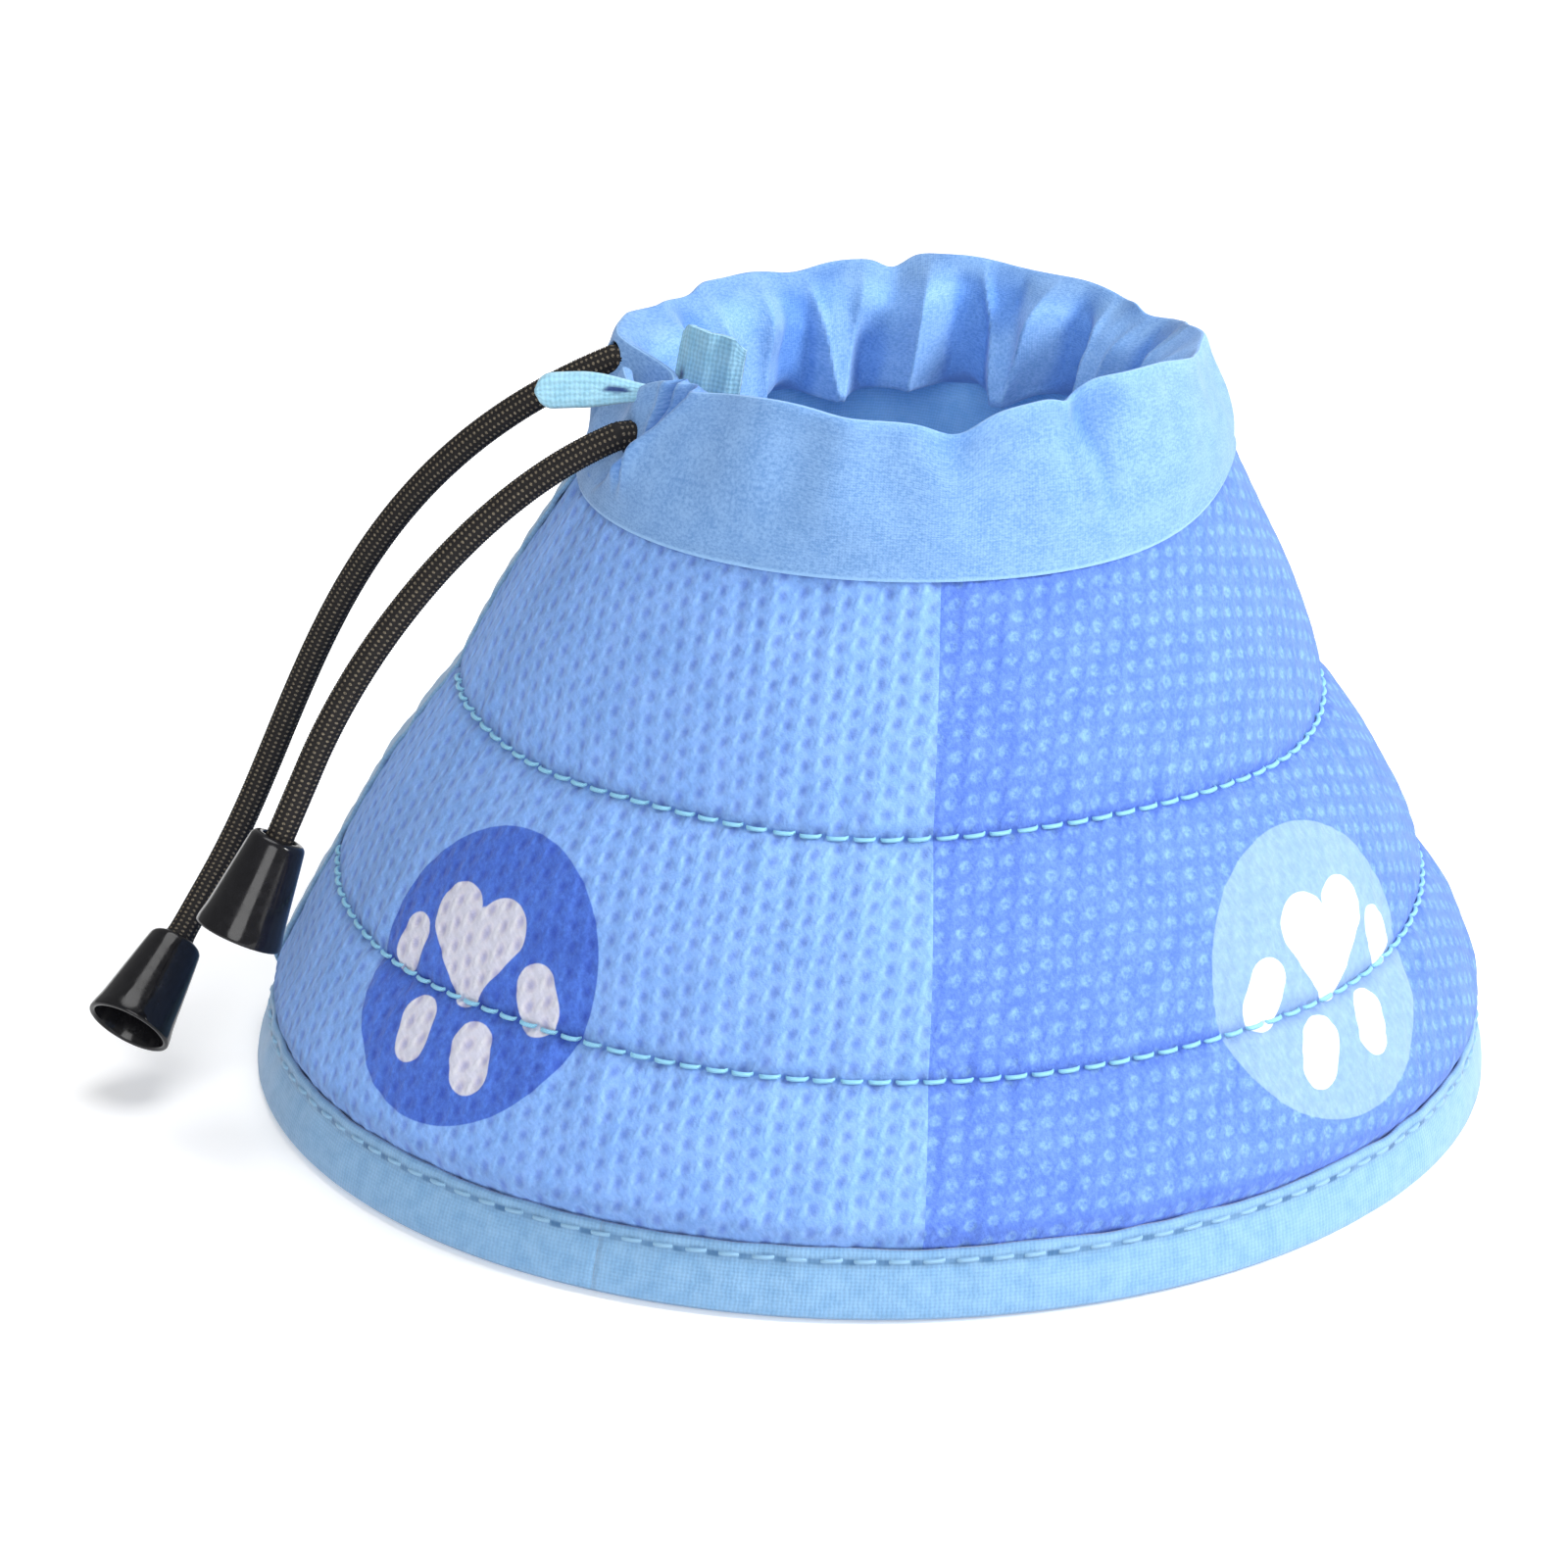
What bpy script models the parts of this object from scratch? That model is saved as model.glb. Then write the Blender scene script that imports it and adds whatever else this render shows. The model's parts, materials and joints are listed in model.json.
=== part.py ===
"""Soft recovery collar for a cat: a quilted cloth cone with a gathered neck band and a drawcord.

The cone stands on its wide hem. Origin: centre of the hem on the ground, +Z up, front towards -Y.
An azimuth is counted in degrees from the front, positive towards +X.
"""

import math

import bmesh
import bpy
from mathutils import Matrix, Vector

MM = 0.001

# Outline of the wall, as (radius, height) of each sewn line from the hem up to the neck seam.
HEM_RADIUS = 89 * MM
HEM_TAPE_TOP = (87 * MM, 9.7 * MM)
WALL_START = (86 * MM, 10.9 * MM)
LOWER_QUILT = (77.3 * MM, 29.3 * MM)
UPPER_QUILT = (60.4 * MM, 56.5 * MM)
NECK_SEAM = (45.6 * MM, 87.6 * MM)
AXIS_LEAN = 5.7 / 88  # the neck sits this far towards +X for each unit of height

# Puffed rows between the sewn lines, from the hem up.
PUFF_OUT = (2.4 * MM, 2.4 * MM, 1.6 * MM)
PUFF_IN = (2.5 * MM, 2.5 * MM, 2.0 * MM)
PUFF_STATIONS = (0.15, 0.5, 0.85)
PUFF_FULLNESS = 0.7  # a lower power of the sine gives a squarer puff
PINCHED_WALL = 3.0 * MM

# Cloth thicknesses and the clearance between neighbouring pieces.
OUTER_CLOTH = 1.1 * MM
LINING = 0.6 * MM
TAPE = 0.8 * MM
FASTENER = 0.9 * MM
UNDERLAP = 2.2 * MM
GAP = 0.3 * MM
THREAD_RADIUS = 0.25 * MM
THREAD_CLEARANCE = 0.3  # degrees between the flap's edge tape and the first stitch
HEM_STITCH_HEIGHT = 7.5 * MM
HEM_CORNER = (0.5 * MM, 0.9 * MM)  # width and height of the folded tape's lower corners
SHARP_EDGE = 35  # degrees

# Where the wall is divided, in degrees of azimuth. The closure is on the left (-X).
STEP = 15
FLAP_EDGE = -98
FLAP_HINGE = -60
FRONT_HINGE = 15
BACK_HINGE = 195
BACK_END = 260.6
UNDERLAP_START = 262.2
UNDERLAP_END = 295
FLAP_BAND_EDGE = -88
BACK_BAND_END = 269
EDGE_TAPE_SPAN = 6.5
EDGE_TAPE_FOLD = 0.9
EDGE_TAPE_SLACK = 0.25
END_CLEARANCE = 0.2  # left free at each end of a stretch

# Hook and loop strips: their azimuths and their heights.
HOOK_SPAN = (-89, -63)
LOOP_SPAN = (UNDERLAP_START + 7, UNDERLAP_END - 7.5)
FASTENER_HEIGHTS = (14 * MM, 84 * MM)
FLAP_WADDING = 1.5 * MM

# Neck band: one strip of cloth folded over the drawcord.
BAND_CLOTH = 0.7 * MM
BAND_FOOT = 88 * MM
BAND_RIM = 106.6 * MM
CHANNEL = (39.1 * MM, 102.2 * MM)
CORD_RADIUS = 2 * MM
BAND_KNEE = 6 * MM  # height over which the band's foot spreads to the wall
BAND_SPREAD = 1.6 * MM
BAND_INNER_SPREAD = 0.6 * MM
FLAP_CORD_END = -72
SLIT_RADIUS = 2.7 * MM
SLIT_DEPTH = 6 * MM
SLIT_SETBACK = 1.5 * MM
FRONT_SLIT_WAY = Vector((-0.94, -0.35, 0))
REAR_SLIT_WAY = Vector((-0.99, 0.14, 0))

# Inner end of the neck band: its azimuths, radii and top, and how far its end curls in.
BAND_TAB_SPAN = (271, 302)
BAND_TAB_RADII = (35.2 * MM, 33.0 * MM)
BAND_TAB_TOP = 105 * MM
BAND_TAB_CURL = 5 * MM

# Loose end of the flap's edge tape.
TAPE_TAIL_SIZE = Vector((11, 1.6, 5.5)) * MM
TAPE_TAIL_PLACE = Vector((-41.5, -13.0, 103.0)) * MM
TAPE_TAIL_TURN = (18, 4, -8)  # degrees
TAPE_TAIL_ROUNDING = 0.7 * MM

# Bends of the wall: straight lines just outside the puffs, given as a radius on the ground.
BEND_RADIUS = 94.5 * MM

# Cord tails: where each leaves the band, how it bows, and which way its end points.
REAR_TAIL = {
    "exit": Vector((-36.0, 5.9, 101.6)) * MM,
    "bow": Vector((-77.0, 4.0, 85.0)) * MM,
    "end_top": Vector((-99.4, -7.7, 18.7)) * MM,
    "end_axis": Vector((-0.412, -0.688, -0.596)),
}
FRONT_TAIL = {
    "exit": Vector((-34.9, -15.3, 96.9)) * MM,
    "bow": Vector((-52.4, -17.9, 90.3)) * MM,
    "end_top": Vector((-81.9, -26.6, 42.5)) * MM,
    "end_axis": Vector((-0.400, -0.224, -0.889)),
}
TAIL_STRAIGHT = 11 * MM  # straight cord above each end, along which the end can slide
TAIL_EASING = 0.33  # share of the tail's length over which it turns into its straight run
TAIL_STEPS = 14

# Cord ends: hollow bells with a knot inside.
END_LENGTH = 15 * MM
END_MOUTH = 6.3 * MM
END_NECK = 3.9 * MM
END_WALL = 0.8 * MM
END_ROOF = 1.6 * MM
END_BORE = 2.5 * MM
END_CHAMFER = 0.7 * MM
END_LIP = (0.2 * MM, 0.4 * MM)
END_INNER_EASE = 0.15 * MM
END_INNER_SHOULDER = (0.4 * MM, 1 * MM)
END_FACETS = 20
KNOT_RADIUS = 3.2 * MM
KNOT_DEPTH = 6.2 * MM

COLOURS = {
    "outer_cloth": (0.16, 0.42, 0.90, 0.85),
    "lining": (0.30, 0.58, 0.92, 0.8),
    "wadding": (0.90, 0.92, 0.94, 0.95),
    "binding": (0.42, 0.74, 0.93, 0.8),
    "band": (0.36, 0.62, 0.93, 0.8),
    "thread": (0.16, 0.62, 0.86, 0.6),
    "hook": (0.22, 0.48, 0.86, 0.7),
    "loop": (0.26, 0.52, 0.88, 0.95),
    "cord": (0.045, 0.040, 0.030, 0.6),
    "cord_end": (0.012, 0.012, 0.016, 0.2),
}


def clear_scene():
    for old in list(bpy.data.objects):
        bpy.data.objects.remove(old, do_unlink=True)


def new_collection(name):
    collection = bpy.data.collections.new(name)
    bpy.context.scene.collection.children.link(collection)
    return collection


def material(name):
    if name in bpy.data.materials:
        return bpy.data.materials[name]
    red, green, blue, roughness = COLOURS[name]
    made = bpy.data.materials.new(name)
    made.use_nodes = True
    shader = made.node_tree.nodes["Principled BSDF"]
    shader.inputs["Base Color"].default_value = (red, green, blue, 1)
    shader.inputs["Roughness"].default_value = roughness
    shader.inputs["Metallic"].default_value = 0
    made.diffuse_color = (red, green, blue, 1)
    return made


def add_object(name, mesh, colour, pivot=None):
    """Adds a sub-part whose mesh is in world coordinates, under the empty on its joint's axis."""
    made = bpy.data.objects.new(name, mesh)
    PARTS.objects.link(made)
    mesh.materials.append(material(colour))
    mesh.shade_smooth()
    mesh.set_sharp_from_angle(angle=math.radians(SHARP_EDGE))
    if pivot:
        made.parent = pivot
        made.location = -pivot.location
    return made


def add_pivot(name, location):
    pivot = bpy.data.objects.new(name, None)
    pivot.empty_display_size = 0.01
    pivot.location = location
    PARTS.objects.link(pivot)
    return pivot


def around(radius, height, azimuth):
    """World point at this radius, height and azimuth of the leaning cone."""
    turn = math.radians(azimuth)
    x = radius * math.sin(turn) + AXIS_LEAN * height
    return Vector((x, -radius * math.cos(turn), height))


def azimuths(start, end):
    """The two ends and every whole step between them, so that nested layers share their facets."""
    shared = sorted([*range(-180, 361, STEP), UNDERLAP_END - 360, UNDERLAP_END])
    inner = [a for a in shared if start < a < end]
    return [start, *inner, end]


def row_line(row, low, high, puffs, side):
    """(height, radius) stations of one puffed row, without its upper sewn line."""
    line = [(low[1], low[0])]
    for share in PUFF_STATIONS:
        chord = low[0] + share * (high[0] - low[0])
        puff = puffs[row] * math.sin(math.pi * share) ** PUFF_FULLNESS
        line.append((low[1] + share * (high[1] - low[1]), chord + side * puff))
    return line


def wall_line(puffs, side, inset):
    """(height, radius) stations of one face of the wall between the hem tape and the neck seam."""
    sewn = [WALL_START, LOWER_QUILT, UPPER_QUILT, NECK_SEAM]
    line = []
    for row, (low, high) in enumerate(zip(sewn, sewn[1:])):
        line += row_line(row, low, high, puffs, side)
    line.append((NECK_SEAM[1], NECK_SEAM[0]))
    return [(height, radius - inset) for height, radius in line]


def tape_radius(height):
    share = height / HEM_TAPE_TOP[1]
    return HEM_RADIUS + share * (HEM_TAPE_TOP[0] - HEM_RADIUS)


def with_hem(line, inset):
    """Runs a wall line on down inside the folded hem tape."""
    foot = TAPE + GAP
    inside = [(z, tape_radius(z) - inset) for z in (foot, HEM_TAPE_TOP[1] + GAP)]
    return inside + line


def radius_at(line, height):
    for (z0, r0), (z1, r1) in zip(line, line[1:]):
        if z0 <= height <= z1:
            return r0 + (r1 - r0) * (height - z0) / (z1 - z0)
    return line[0][1] if height < line[0][0] else line[-1][1]


def strip(line, bottom, top, near, far):
    """Closed (radius, height) outline between two insets of a wall line."""
    heights = [bottom, *(z for z, _ in line if bottom < z < top), top]
    face = [(radius_at(line, z) - near, z) for z in heights]
    back = [(radius_at(line, z) - far, z) for z in reversed(heights)]
    return face + back


def between(outer, inner, bottom, top):
    """Closed outline between two different lines."""
    up = [bottom, *(z for z, _ in outer if bottom < z < top), top]
    down = [top, *(z for z, _ in reversed(inner) if bottom < z < top), bottom]
    face = [(radius_at(outer, z), z) for z in up]
    return face + [(radius_at(inner, z), z) for z in down]


def inset_line(line, inset):
    return [(height, radius - inset) for height, radius in line]


def turned_mesh(name, outline, start, end, curl=0.0):
    """Turns an outline about the cone's axis between two azimuths, then leans it with the cone.

    curl draws the far end in towards the axis by this much.
    """
    bm = bmesh.new()
    stops = azimuths(start, end)
    first = Matrix.Rotation(math.radians(stops[0]), 3, "Z")
    corners = [bm.verts.new(first @ Vector((0, -r, z))) for r, z in outline]
    face = bm.faces.new(corners)
    for index in range(1, len(stops)):
        passed = face
        made = bmesh.ops.extrude_face_region(bm, geom=[passed], use_keep_orig=True)
        fresh = [item for item in made["geom"] if isinstance(item, bmesh.types.BMVert)]
        face = next(item for item in made["geom"] if isinstance(item, bmesh.types.BMFace))
        if index > 1:
            bmesh.ops.delete(bm, geom=[passed], context="FACES_ONLY")
        turn = Matrix.Rotation(math.radians(stops[index] - stops[index - 1]), 3, "Z")
        bmesh.ops.rotate(bm, verts=fresh, cent=(0, 0, 0), matrix=turn)
    for vert in bm.verts:
        if curl:
            azimuth = math.degrees(math.atan2(vert.co.x, -vert.co.y)) % 360
            share = (azimuth - start % 360) / (end - start)
            flat = Vector((vert.co.x, vert.co.y, 0))
            vert.co -= flat.normalized() * curl * share**2
        vert.co.x += AXIS_LEAN * vert.co.z
    bmesh.ops.recalc_face_normals(bm, faces=bm.faces)
    mesh = bpy.data.meshes.new(name)
    bm.to_mesh(mesh)
    bm.free()
    return mesh


def turned(name, outline, start, end, colour, pivot, curl=0.0):
    return add_object(name, turned_mesh(name, outline, start, end, curl), colour, pivot)


def hem_outline(near, far):
    """Tape folded round the hem: two legs and a flat underside, between two insets of its outer face."""
    top = HEM_TAPE_TOP[1]
    corner, low = HEM_CORNER
    return [
        (tape_radius(0) - near - corner, 0),
        (tape_radius(low) - near, low),
        (tape_radius(top) - near, top),
        (tape_radius(top) - near - TAPE, top),
        (tape_radius(TAPE) - near - TAPE, TAPE),
        (tape_radius(TAPE) - far + TAPE, TAPE),
        (tape_radius(top) - far + TAPE, top),
        (tape_radius(top) - far, top),
        (tape_radius(low) - far, low),
        (tape_radius(0) - far + corner, 0),
    ]


def band_outline():
    """The band's cloth as a hairpin: up the outer face, over the drawcord and down to the lining."""
    fold = CHANNEL[1]
    reach = CORD_RADIUS + 2 * GAP + BAND_CLOTH
    arc = [math.radians(a) for a in (0, 45, 90, 135, 180)]
    over = [(CHANNEL[0] + reach * math.cos(a), fold + (BAND_RIM - fold) * math.sin(a)) for a in arc]
    tight = reach - BAND_CLOTH
    peak = BAND_RIM - fold - BAND_CLOTH
    under = [(CHANNEL[0] + tight * math.cos(a), fold + peak * math.sin(a)) for a in reversed(arc)]
    foot = NECK_SEAM[0] - GAP
    inner_foot = NECK_SEAM[0] - PINCHED_WALL
    knee = BAND_FOOT + BAND_KNEE
    inner_knee = CHANNEL[0] + BAND_INNER_SPREAD
    outer_leg = [(foot, BAND_FOOT), (foot - BAND_SPREAD, knee)]
    inner_leg = [(inner_knee - reach, knee), (inner_foot - BAND_CLOTH, BAND_FOOT)]
    back_inner = [(inner_foot, BAND_FOOT), (inner_knee - tight, knee)]
    back_outer = [(foot - BAND_SPREAD - BAND_CLOTH, knee), (foot - BAND_CLOTH, BAND_FOOT)]
    return outer_leg + over + inner_leg + back_inner + under + back_outer


def rod_outline(radius, height, thickness, sides=4):
    turns = [2 * math.pi * index / sides for index in range(sides)]
    return [(radius + thickness * math.cos(a), height + thickness * math.sin(a)) for a in turns]


def wall_section(tag, start, end, pivot):
    """Every layer of the padded wall between two azimuths."""
    outer = with_hem(OUTER_LINE, TAPE + GAP)
    lining_inset = TAPE + GAP + OUTER_CLOTH + GAP
    lining = with_hem(INNER_LINE, lining_inset)
    top = NECK_SEAM[1]
    foot = TAPE + GAP
    turned(f"outer_cloth_{tag}", strip(outer, foot, top, 0, OUTER_CLOTH), start, end, "outer_cloth", pivot)
    turned(f"lining_{tag}", strip(lining, foot, top, 0, LINING), start, end, "lining", pivot)
    sewn = [WALL_START[1], LOWER_QUILT[1], UPPER_QUILT[1], NECK_SEAM[1]]
    face = inset_line(OUTER_LINE, OUTER_CLOTH + GAP)
    back = inset_line(INNER_LINE, -GAP)
    for row, low, high in zip(("lower", "middle", "upper"), sewn, sewn[1:]):
        outline = between(face, back, low + 1.5 * GAP, high - 1.5 * GAP)
        turned(f"wadding_{row}_{tag}", outline, start, end, "wadding", pivot)


def sewing(tag, start, end, pivot):
    """Thread of the two quilting lines and of the hem tape."""
    proud = THREAD_RADIUS + GAP
    lines = {
        "quilt_thread_upper": (UPPER_QUILT[0] + proud, UPPER_QUILT[1]),
        "quilt_thread_lower": (LOWER_QUILT[0] + proud, LOWER_QUILT[1]),
        "hem_thread": (tape_radius(HEM_STITCH_HEIGHT) + proud, HEM_STITCH_HEIGHT),
    }
    for name, (radius, height) in lines.items():
        turned(f"{name}_{tag}", rod_outline(radius, height, THREAD_RADIUS), start, end, "thread", pivot)


def padded_part(tag, start, end, band_end, cord_end, pivot):
    """One stretch of the collar: padded wall, hem tape, neck band, drawcord and thread."""
    wall = (start + END_CLEARANCE, end - END_CLEARANCE)
    wall_section(tag, *wall, pivot)
    legs = hem_outline(0, PINCHED_WALL + TAPE + GAP)
    turned(f"hem_binding_{tag}", legs, *wall, "binding", pivot)
    band = (start + END_CLEARANCE, band_end - END_CLEARANCE)
    turned(f"neck_band_{tag}", band_outline(), *band, "band", pivot)
    cord = rod_outline(*CHANNEL, CORD_RADIUS, sides=6)
    turned(f"drawcord_{tag}", cord, start + END_CLEARANCE, cord_end - END_CLEARANCE, "cord", pivot)
    sewing(tag, *wall, pivot)


def cut(target, cutter):
    cutter.display_type = "WIRE"
    cutter.hide_render = True
    modifier = target.modifiers.new("cut", "BOOLEAN")
    modifier.operation = "DIFFERENCE"
    modifier.object = cutter


def edge_tape(name, line, bottom, top, near, far, edge, side, pivot):
    """Tape folded round the free edge of a lap. side is the way the lap runs from that edge."""
    outside = strip(line, bottom, top, near - GAP - TAPE, far + GAP + TAPE)
    inside = strip(line, bottom - 5 * MM, top + 5 * MM, near - GAP, far + GAP)
    fold = EDGE_TAPE_FOLD * side
    span = EDGE_TAPE_SPAN * side
    ends = sorted((edge - fold, edge + span))
    tape = turned(name, outside, *ends, "binding", pivot)
    ends = sorted((edge - EDGE_TAPE_SLACK * side, edge + 2 * span))
    cutter = bpy.data.objects.new(f"{name}_cutter", turned_mesh(f"{name}_cutter", inside, *ends))
    CUTTERS.objects.link(cutter)
    if pivot:
        cutter.parent = pivot
        cutter.location = -pivot.location
    cut(tape, cutter)


def closure_flap(pivot):
    """Front end of the collar, which laps over the back end and carries the hook strip."""
    end = FLAP_HINGE - END_CLEARANCE
    span = (FLAP_EDGE, end)
    wall = with_hem(OUTER_LINE, TAPE + GAP)
    top = NECK_SEAM[1]
    foot = TAPE + GAP
    wadding_near = OUTER_CLOTH + GAP
    wadding_far = wadding_near + FLAP_WADDING
    lining_near = wadding_far + GAP
    lining_far = lining_near + LINING
    turned("outer_cloth_flap", strip(wall, foot, top, 0, OUTER_CLOTH), *span, "outer_cloth", pivot)
    padding = strip(OUTER_LINE, WALL_START[1] + GAP, top, wadding_near, wadding_far)
    turned("wadding_flap", padding, *span, "wadding", pivot)
    turned("lining_flap", strip(wall, foot, top, lining_near, lining_far), *span, "lining", pivot)
    hook_near = lining_far + GAP
    hook = strip(OUTER_LINE, *FASTENER_HEIGHTS, hook_near, hook_near + FASTENER)
    turned("hook_strip", hook, *HOOK_SPAN, "hook", pivot)
    legs = hem_outline(0, lining_far + 2 * GAP + 2 * TAPE)
    turned("hem_binding_flap", legs, *span, "binding", pivot)
    turned("neck_band_flap", band_outline(), FLAP_BAND_EDGE, end, "band", pivot)
    cord = rod_outline(*CHANNEL, CORD_RADIUS, sides=6)
    turned("drawcord_flap", cord, FLAP_CORD_END, end, "cord", pivot)
    sewing("flap", FLAP_EDGE + EDGE_TAPE_SPAN + THREAD_CLEARANCE, end, pivot)
    bottom = HEM_TAPE_TOP[1] + 2 * GAP
    edge_tape("edge_tape_flap", OUTER_LINE, bottom, top, 0, lining_far, FLAP_EDGE, 1, pivot)
    return hook_near + FASTENER


def tape_tail(pivot):
    """Loose end of the flap's edge tape, standing out to the left beside the neck band."""
    bpy.ops.mesh.primitive_cube_add(size=1)
    tail = bpy.context.object
    tail.name = "tape_tail"
    tail.data.name = "tape_tail"
    for collection in tail.users_collection:
        collection.objects.unlink(tail)
    PARTS.objects.link(tail)
    for vert in tail.data.vertices:
        vert.co *= TAPE_TAIL_SIZE
    tail.parent = pivot
    tail.location = TAPE_TAIL_PLACE - pivot.location
    tail.rotation_euler = [math.radians(turn) for turn in TAPE_TAIL_TURN]
    bevel = tail.modifiers.new("rounding", "BEVEL")
    bevel.width = TAPE_TAIL_ROUNDING
    bevel.segments = 2
    tail.data.materials.append(material("binding"))
    tail.data.shade_smooth()


def underlap(depth, pivot):
    """Back end of the collar, inside the flap: one flat quilted layer with the loop strip on its face."""
    loop_near = depth + 2 * GAP
    cloth_near = loop_near + FASTENER + GAP
    cloth_far = cloth_near + UNDERLAP
    span = (UNDERLAP_START, UNDERLAP_END)
    wall = with_hem(OUTER_LINE, TAPE + GAP)
    foot = TAPE + GAP
    top = NECK_SEAM[1]
    turned("underlap_cloth", strip(wall, foot, top, cloth_near, cloth_far), *span, "lining", pivot)
    loop = strip(OUTER_LINE, *FASTENER_HEIGHTS, loop_near, loop_near + FASTENER)
    turned("loop_strip", loop, *LOOP_SPAN, "loop", pivot)
    legs = hem_outline(cloth_near, cloth_far + 2 * GAP + 2 * TAPE)
    turned("hem_binding_underlap", legs, *span, "binding", pivot)
    bottom = HEM_TAPE_TOP[1] + 2 * GAP
    tape = "edge_tape_underlap"
    edge_tape(tape, OUTER_LINE, bottom, top, cloth_near, cloth_far, UNDERLAP_END, -1, pivot)
    face, back = BAND_TAB_RADII
    tab = [(face, BAND_FOOT), (face, BAND_TAB_TOP), (back, BAND_TAB_TOP), (back, BAND_FOOT)]
    turned("neck_band_underlap", tab, *BAND_TAB_SPAN, "band", pivot, curl=BAND_TAB_CURL)


def tail_points(tail):
    """Centre line of a cord tail: a bow from the band, then a straight run to the knot."""
    axis = tail["end_axis"].normalized()
    knot = tail["end_top"] + KNOT_DEPTH * axis
    level = tail["end_top"] - TAIL_STRAIGHT * axis
    easing = level - TAIL_EASING * (level - tail["exit"]).length * axis
    points = []
    for index in range(TAIL_STEPS + 1):
        t = index / TAIL_STEPS
        points.append(
            (1 - t) ** 3 * tail["exit"]
            + 3 * t * (1 - t) ** 2 * tail["bow"]
            + 3 * t * t * (1 - t) * easing
            + t**3 * level
        )
    points.append(knot)
    return points


def cord_tail(name, tail, pivot):
    """Loose cord outside the band, with the knot that holds its end on."""
    points = tail_points(tail)
    curve = bpy.data.curves.new(name, "CURVE")
    curve.dimensions = "3D"
    curve.bevel_depth = CORD_RADIUS
    curve.bevel_resolution = 2
    curve.use_fill_caps = True
    spline = curve.splines.new("POLY")
    spline.points.add(len(points) - 1)
    for point, place in zip(spline.points, points):
        point.co = (*place, 1)
    guide = bpy.data.objects.new(f"{name}_guide", curve)
    bpy.context.scene.collection.objects.link(guide)
    graph = bpy.context.evaluated_depsgraph_get()
    mesh = bpy.data.meshes.new_from_object(guide.evaluated_get(graph))
    bpy.data.objects.remove(guide, do_unlink=True)
    mesh.name = name
    bm = bmesh.new()
    bm.from_mesh(mesh)
    bmesh.ops.remove_doubles(bm, verts=bm.verts, dist=0.00001)
    bmesh.ops.recalc_face_normals(bm, faces=bm.faces)
    bm.to_mesh(mesh)
    bm.free()
    cord = add_object(name, mesh, "cord", pivot)

    knot_mesh = bpy.data.meshes.new(f"{name}_knot")
    bm = bmesh.new()
    bmesh.ops.create_uvsphere(bm, u_segments=12, v_segments=8, radius=KNOT_RADIUS)
    bm.to_mesh(knot_mesh)
    bm.free()
    knot = bpy.data.objects.new(f"{name}_knot", knot_mesh)
    CUTTERS.objects.link(knot)
    knot.parent = pivot
    knot.location = points[-1] - pivot.location
    knot.hide_render = True
    knot.display_type = "WIRE"
    join = cord.modifiers.new("knot", "BOOLEAN")
    join.operation = "UNION"
    join.object = knot


def cord_end(name, tail, pivot):
    """Hollow bell, turned about its own axis, with a bore for the cord in its roof."""
    inner_mouth = END_MOUTH - END_WALL
    inner_neck = END_NECK - END_WALL + END_INNER_EASE
    lip, lip_height = END_LIP
    shoulder, shoulder_height = END_INNER_SHOULDER
    profile = [
        (END_BORE, 0),
        (END_NECK - END_CHAMFER, 0),
        (END_NECK, -END_CHAMFER),
        (END_MOUTH, lip_height - END_LENGTH),
        (END_MOUTH - lip, -END_LENGTH),
        (inner_mouth, -END_LENGTH),
        (inner_neck + shoulder, -END_ROOF - shoulder_height),
        (END_BORE, -END_ROOF),
    ]
    mesh = bpy.data.meshes.new(name)
    bm = bmesh.new()
    points = [bm.verts.new((radius, 0, height)) for radius, height in profile]
    for first, second in zip(points, points[1:] + points[:1]):
        bm.edges.new((first, second))
    bm.to_mesh(mesh)
    bm.free()
    bell = add_object(name, mesh, "cord_end")
    bell.parent = pivot
    bell.location = tail["end_top"] - pivot.location
    bell.rotation_mode = "QUATERNION"
    bell.rotation_quaternion = (-tail["end_axis"]).to_track_quat("Z", "Y")
    screw = bell.modifiers.new("turned", "SCREW")
    screw.steps = END_FACETS
    screw.render_steps = END_FACETS
    screw.use_merge_vertices = True
    screw.merge_threshold = 0.00001
    screw.use_normal_calculate = True


def cord_slit(band_name, tail, outward):
    """Round hole through the band's outer face, where the cord leaves the channel."""
    bpy.ops.mesh.primitive_cylinder_add(vertices=12, radius=SLIT_RADIUS, depth=SLIT_DEPTH)
    punch = bpy.context.object
    punch.name = f"{band_name}_punch"
    for collection in punch.users_collection:
        collection.objects.unlink(punch)
    CUTTERS.objects.link(punch)
    punch.location = tail["exit"] - SLIT_SETBACK * outward
    punch.rotation_mode = "QUATERNION"
    punch.rotation_quaternion = outward.to_track_quat("Z", "Y")
    cut(bpy.data.objects[band_name], punch)


OUTER_LINE = wall_line(PUFF_OUT, 1, 0)
INNER_LINE = wall_line(PUFF_IN, -1, PINCHED_WALL - LINING)

clear_scene()
PARTS = new_collection("recovery_collar")
CUTTERS = new_collection("cutters")

front_bend = add_pivot("front_bend", around(BEND_RADIUS, 0, FRONT_HINGE))
back_bend = add_pivot("back_bend", around(BEND_RADIUS, 0, BACK_HINGE))
flap_bend = add_pivot("flap_bend", around(BEND_RADIUS, 0, FLAP_HINGE))
front_swing = add_pivot("front_swing", FRONT_TAIL["exit"])
rear_swing = add_pivot("rear_swing", REAR_TAIL["exit"])

padded_part("main", FRONT_HINGE, BACK_HINGE, BACK_HINGE, BACK_HINGE, None)
padded_part("front", FLAP_HINGE, FRONT_HINGE, FRONT_HINGE, FRONT_HINGE, front_bend)
padded_part("back", BACK_HINGE, BACK_END, BACK_BAND_END, BACK_END - 1, back_bend)
flap_depth = closure_flap(flap_bend)
tape_tail(flap_bend)
underlap(flap_depth, back_bend)

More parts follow.
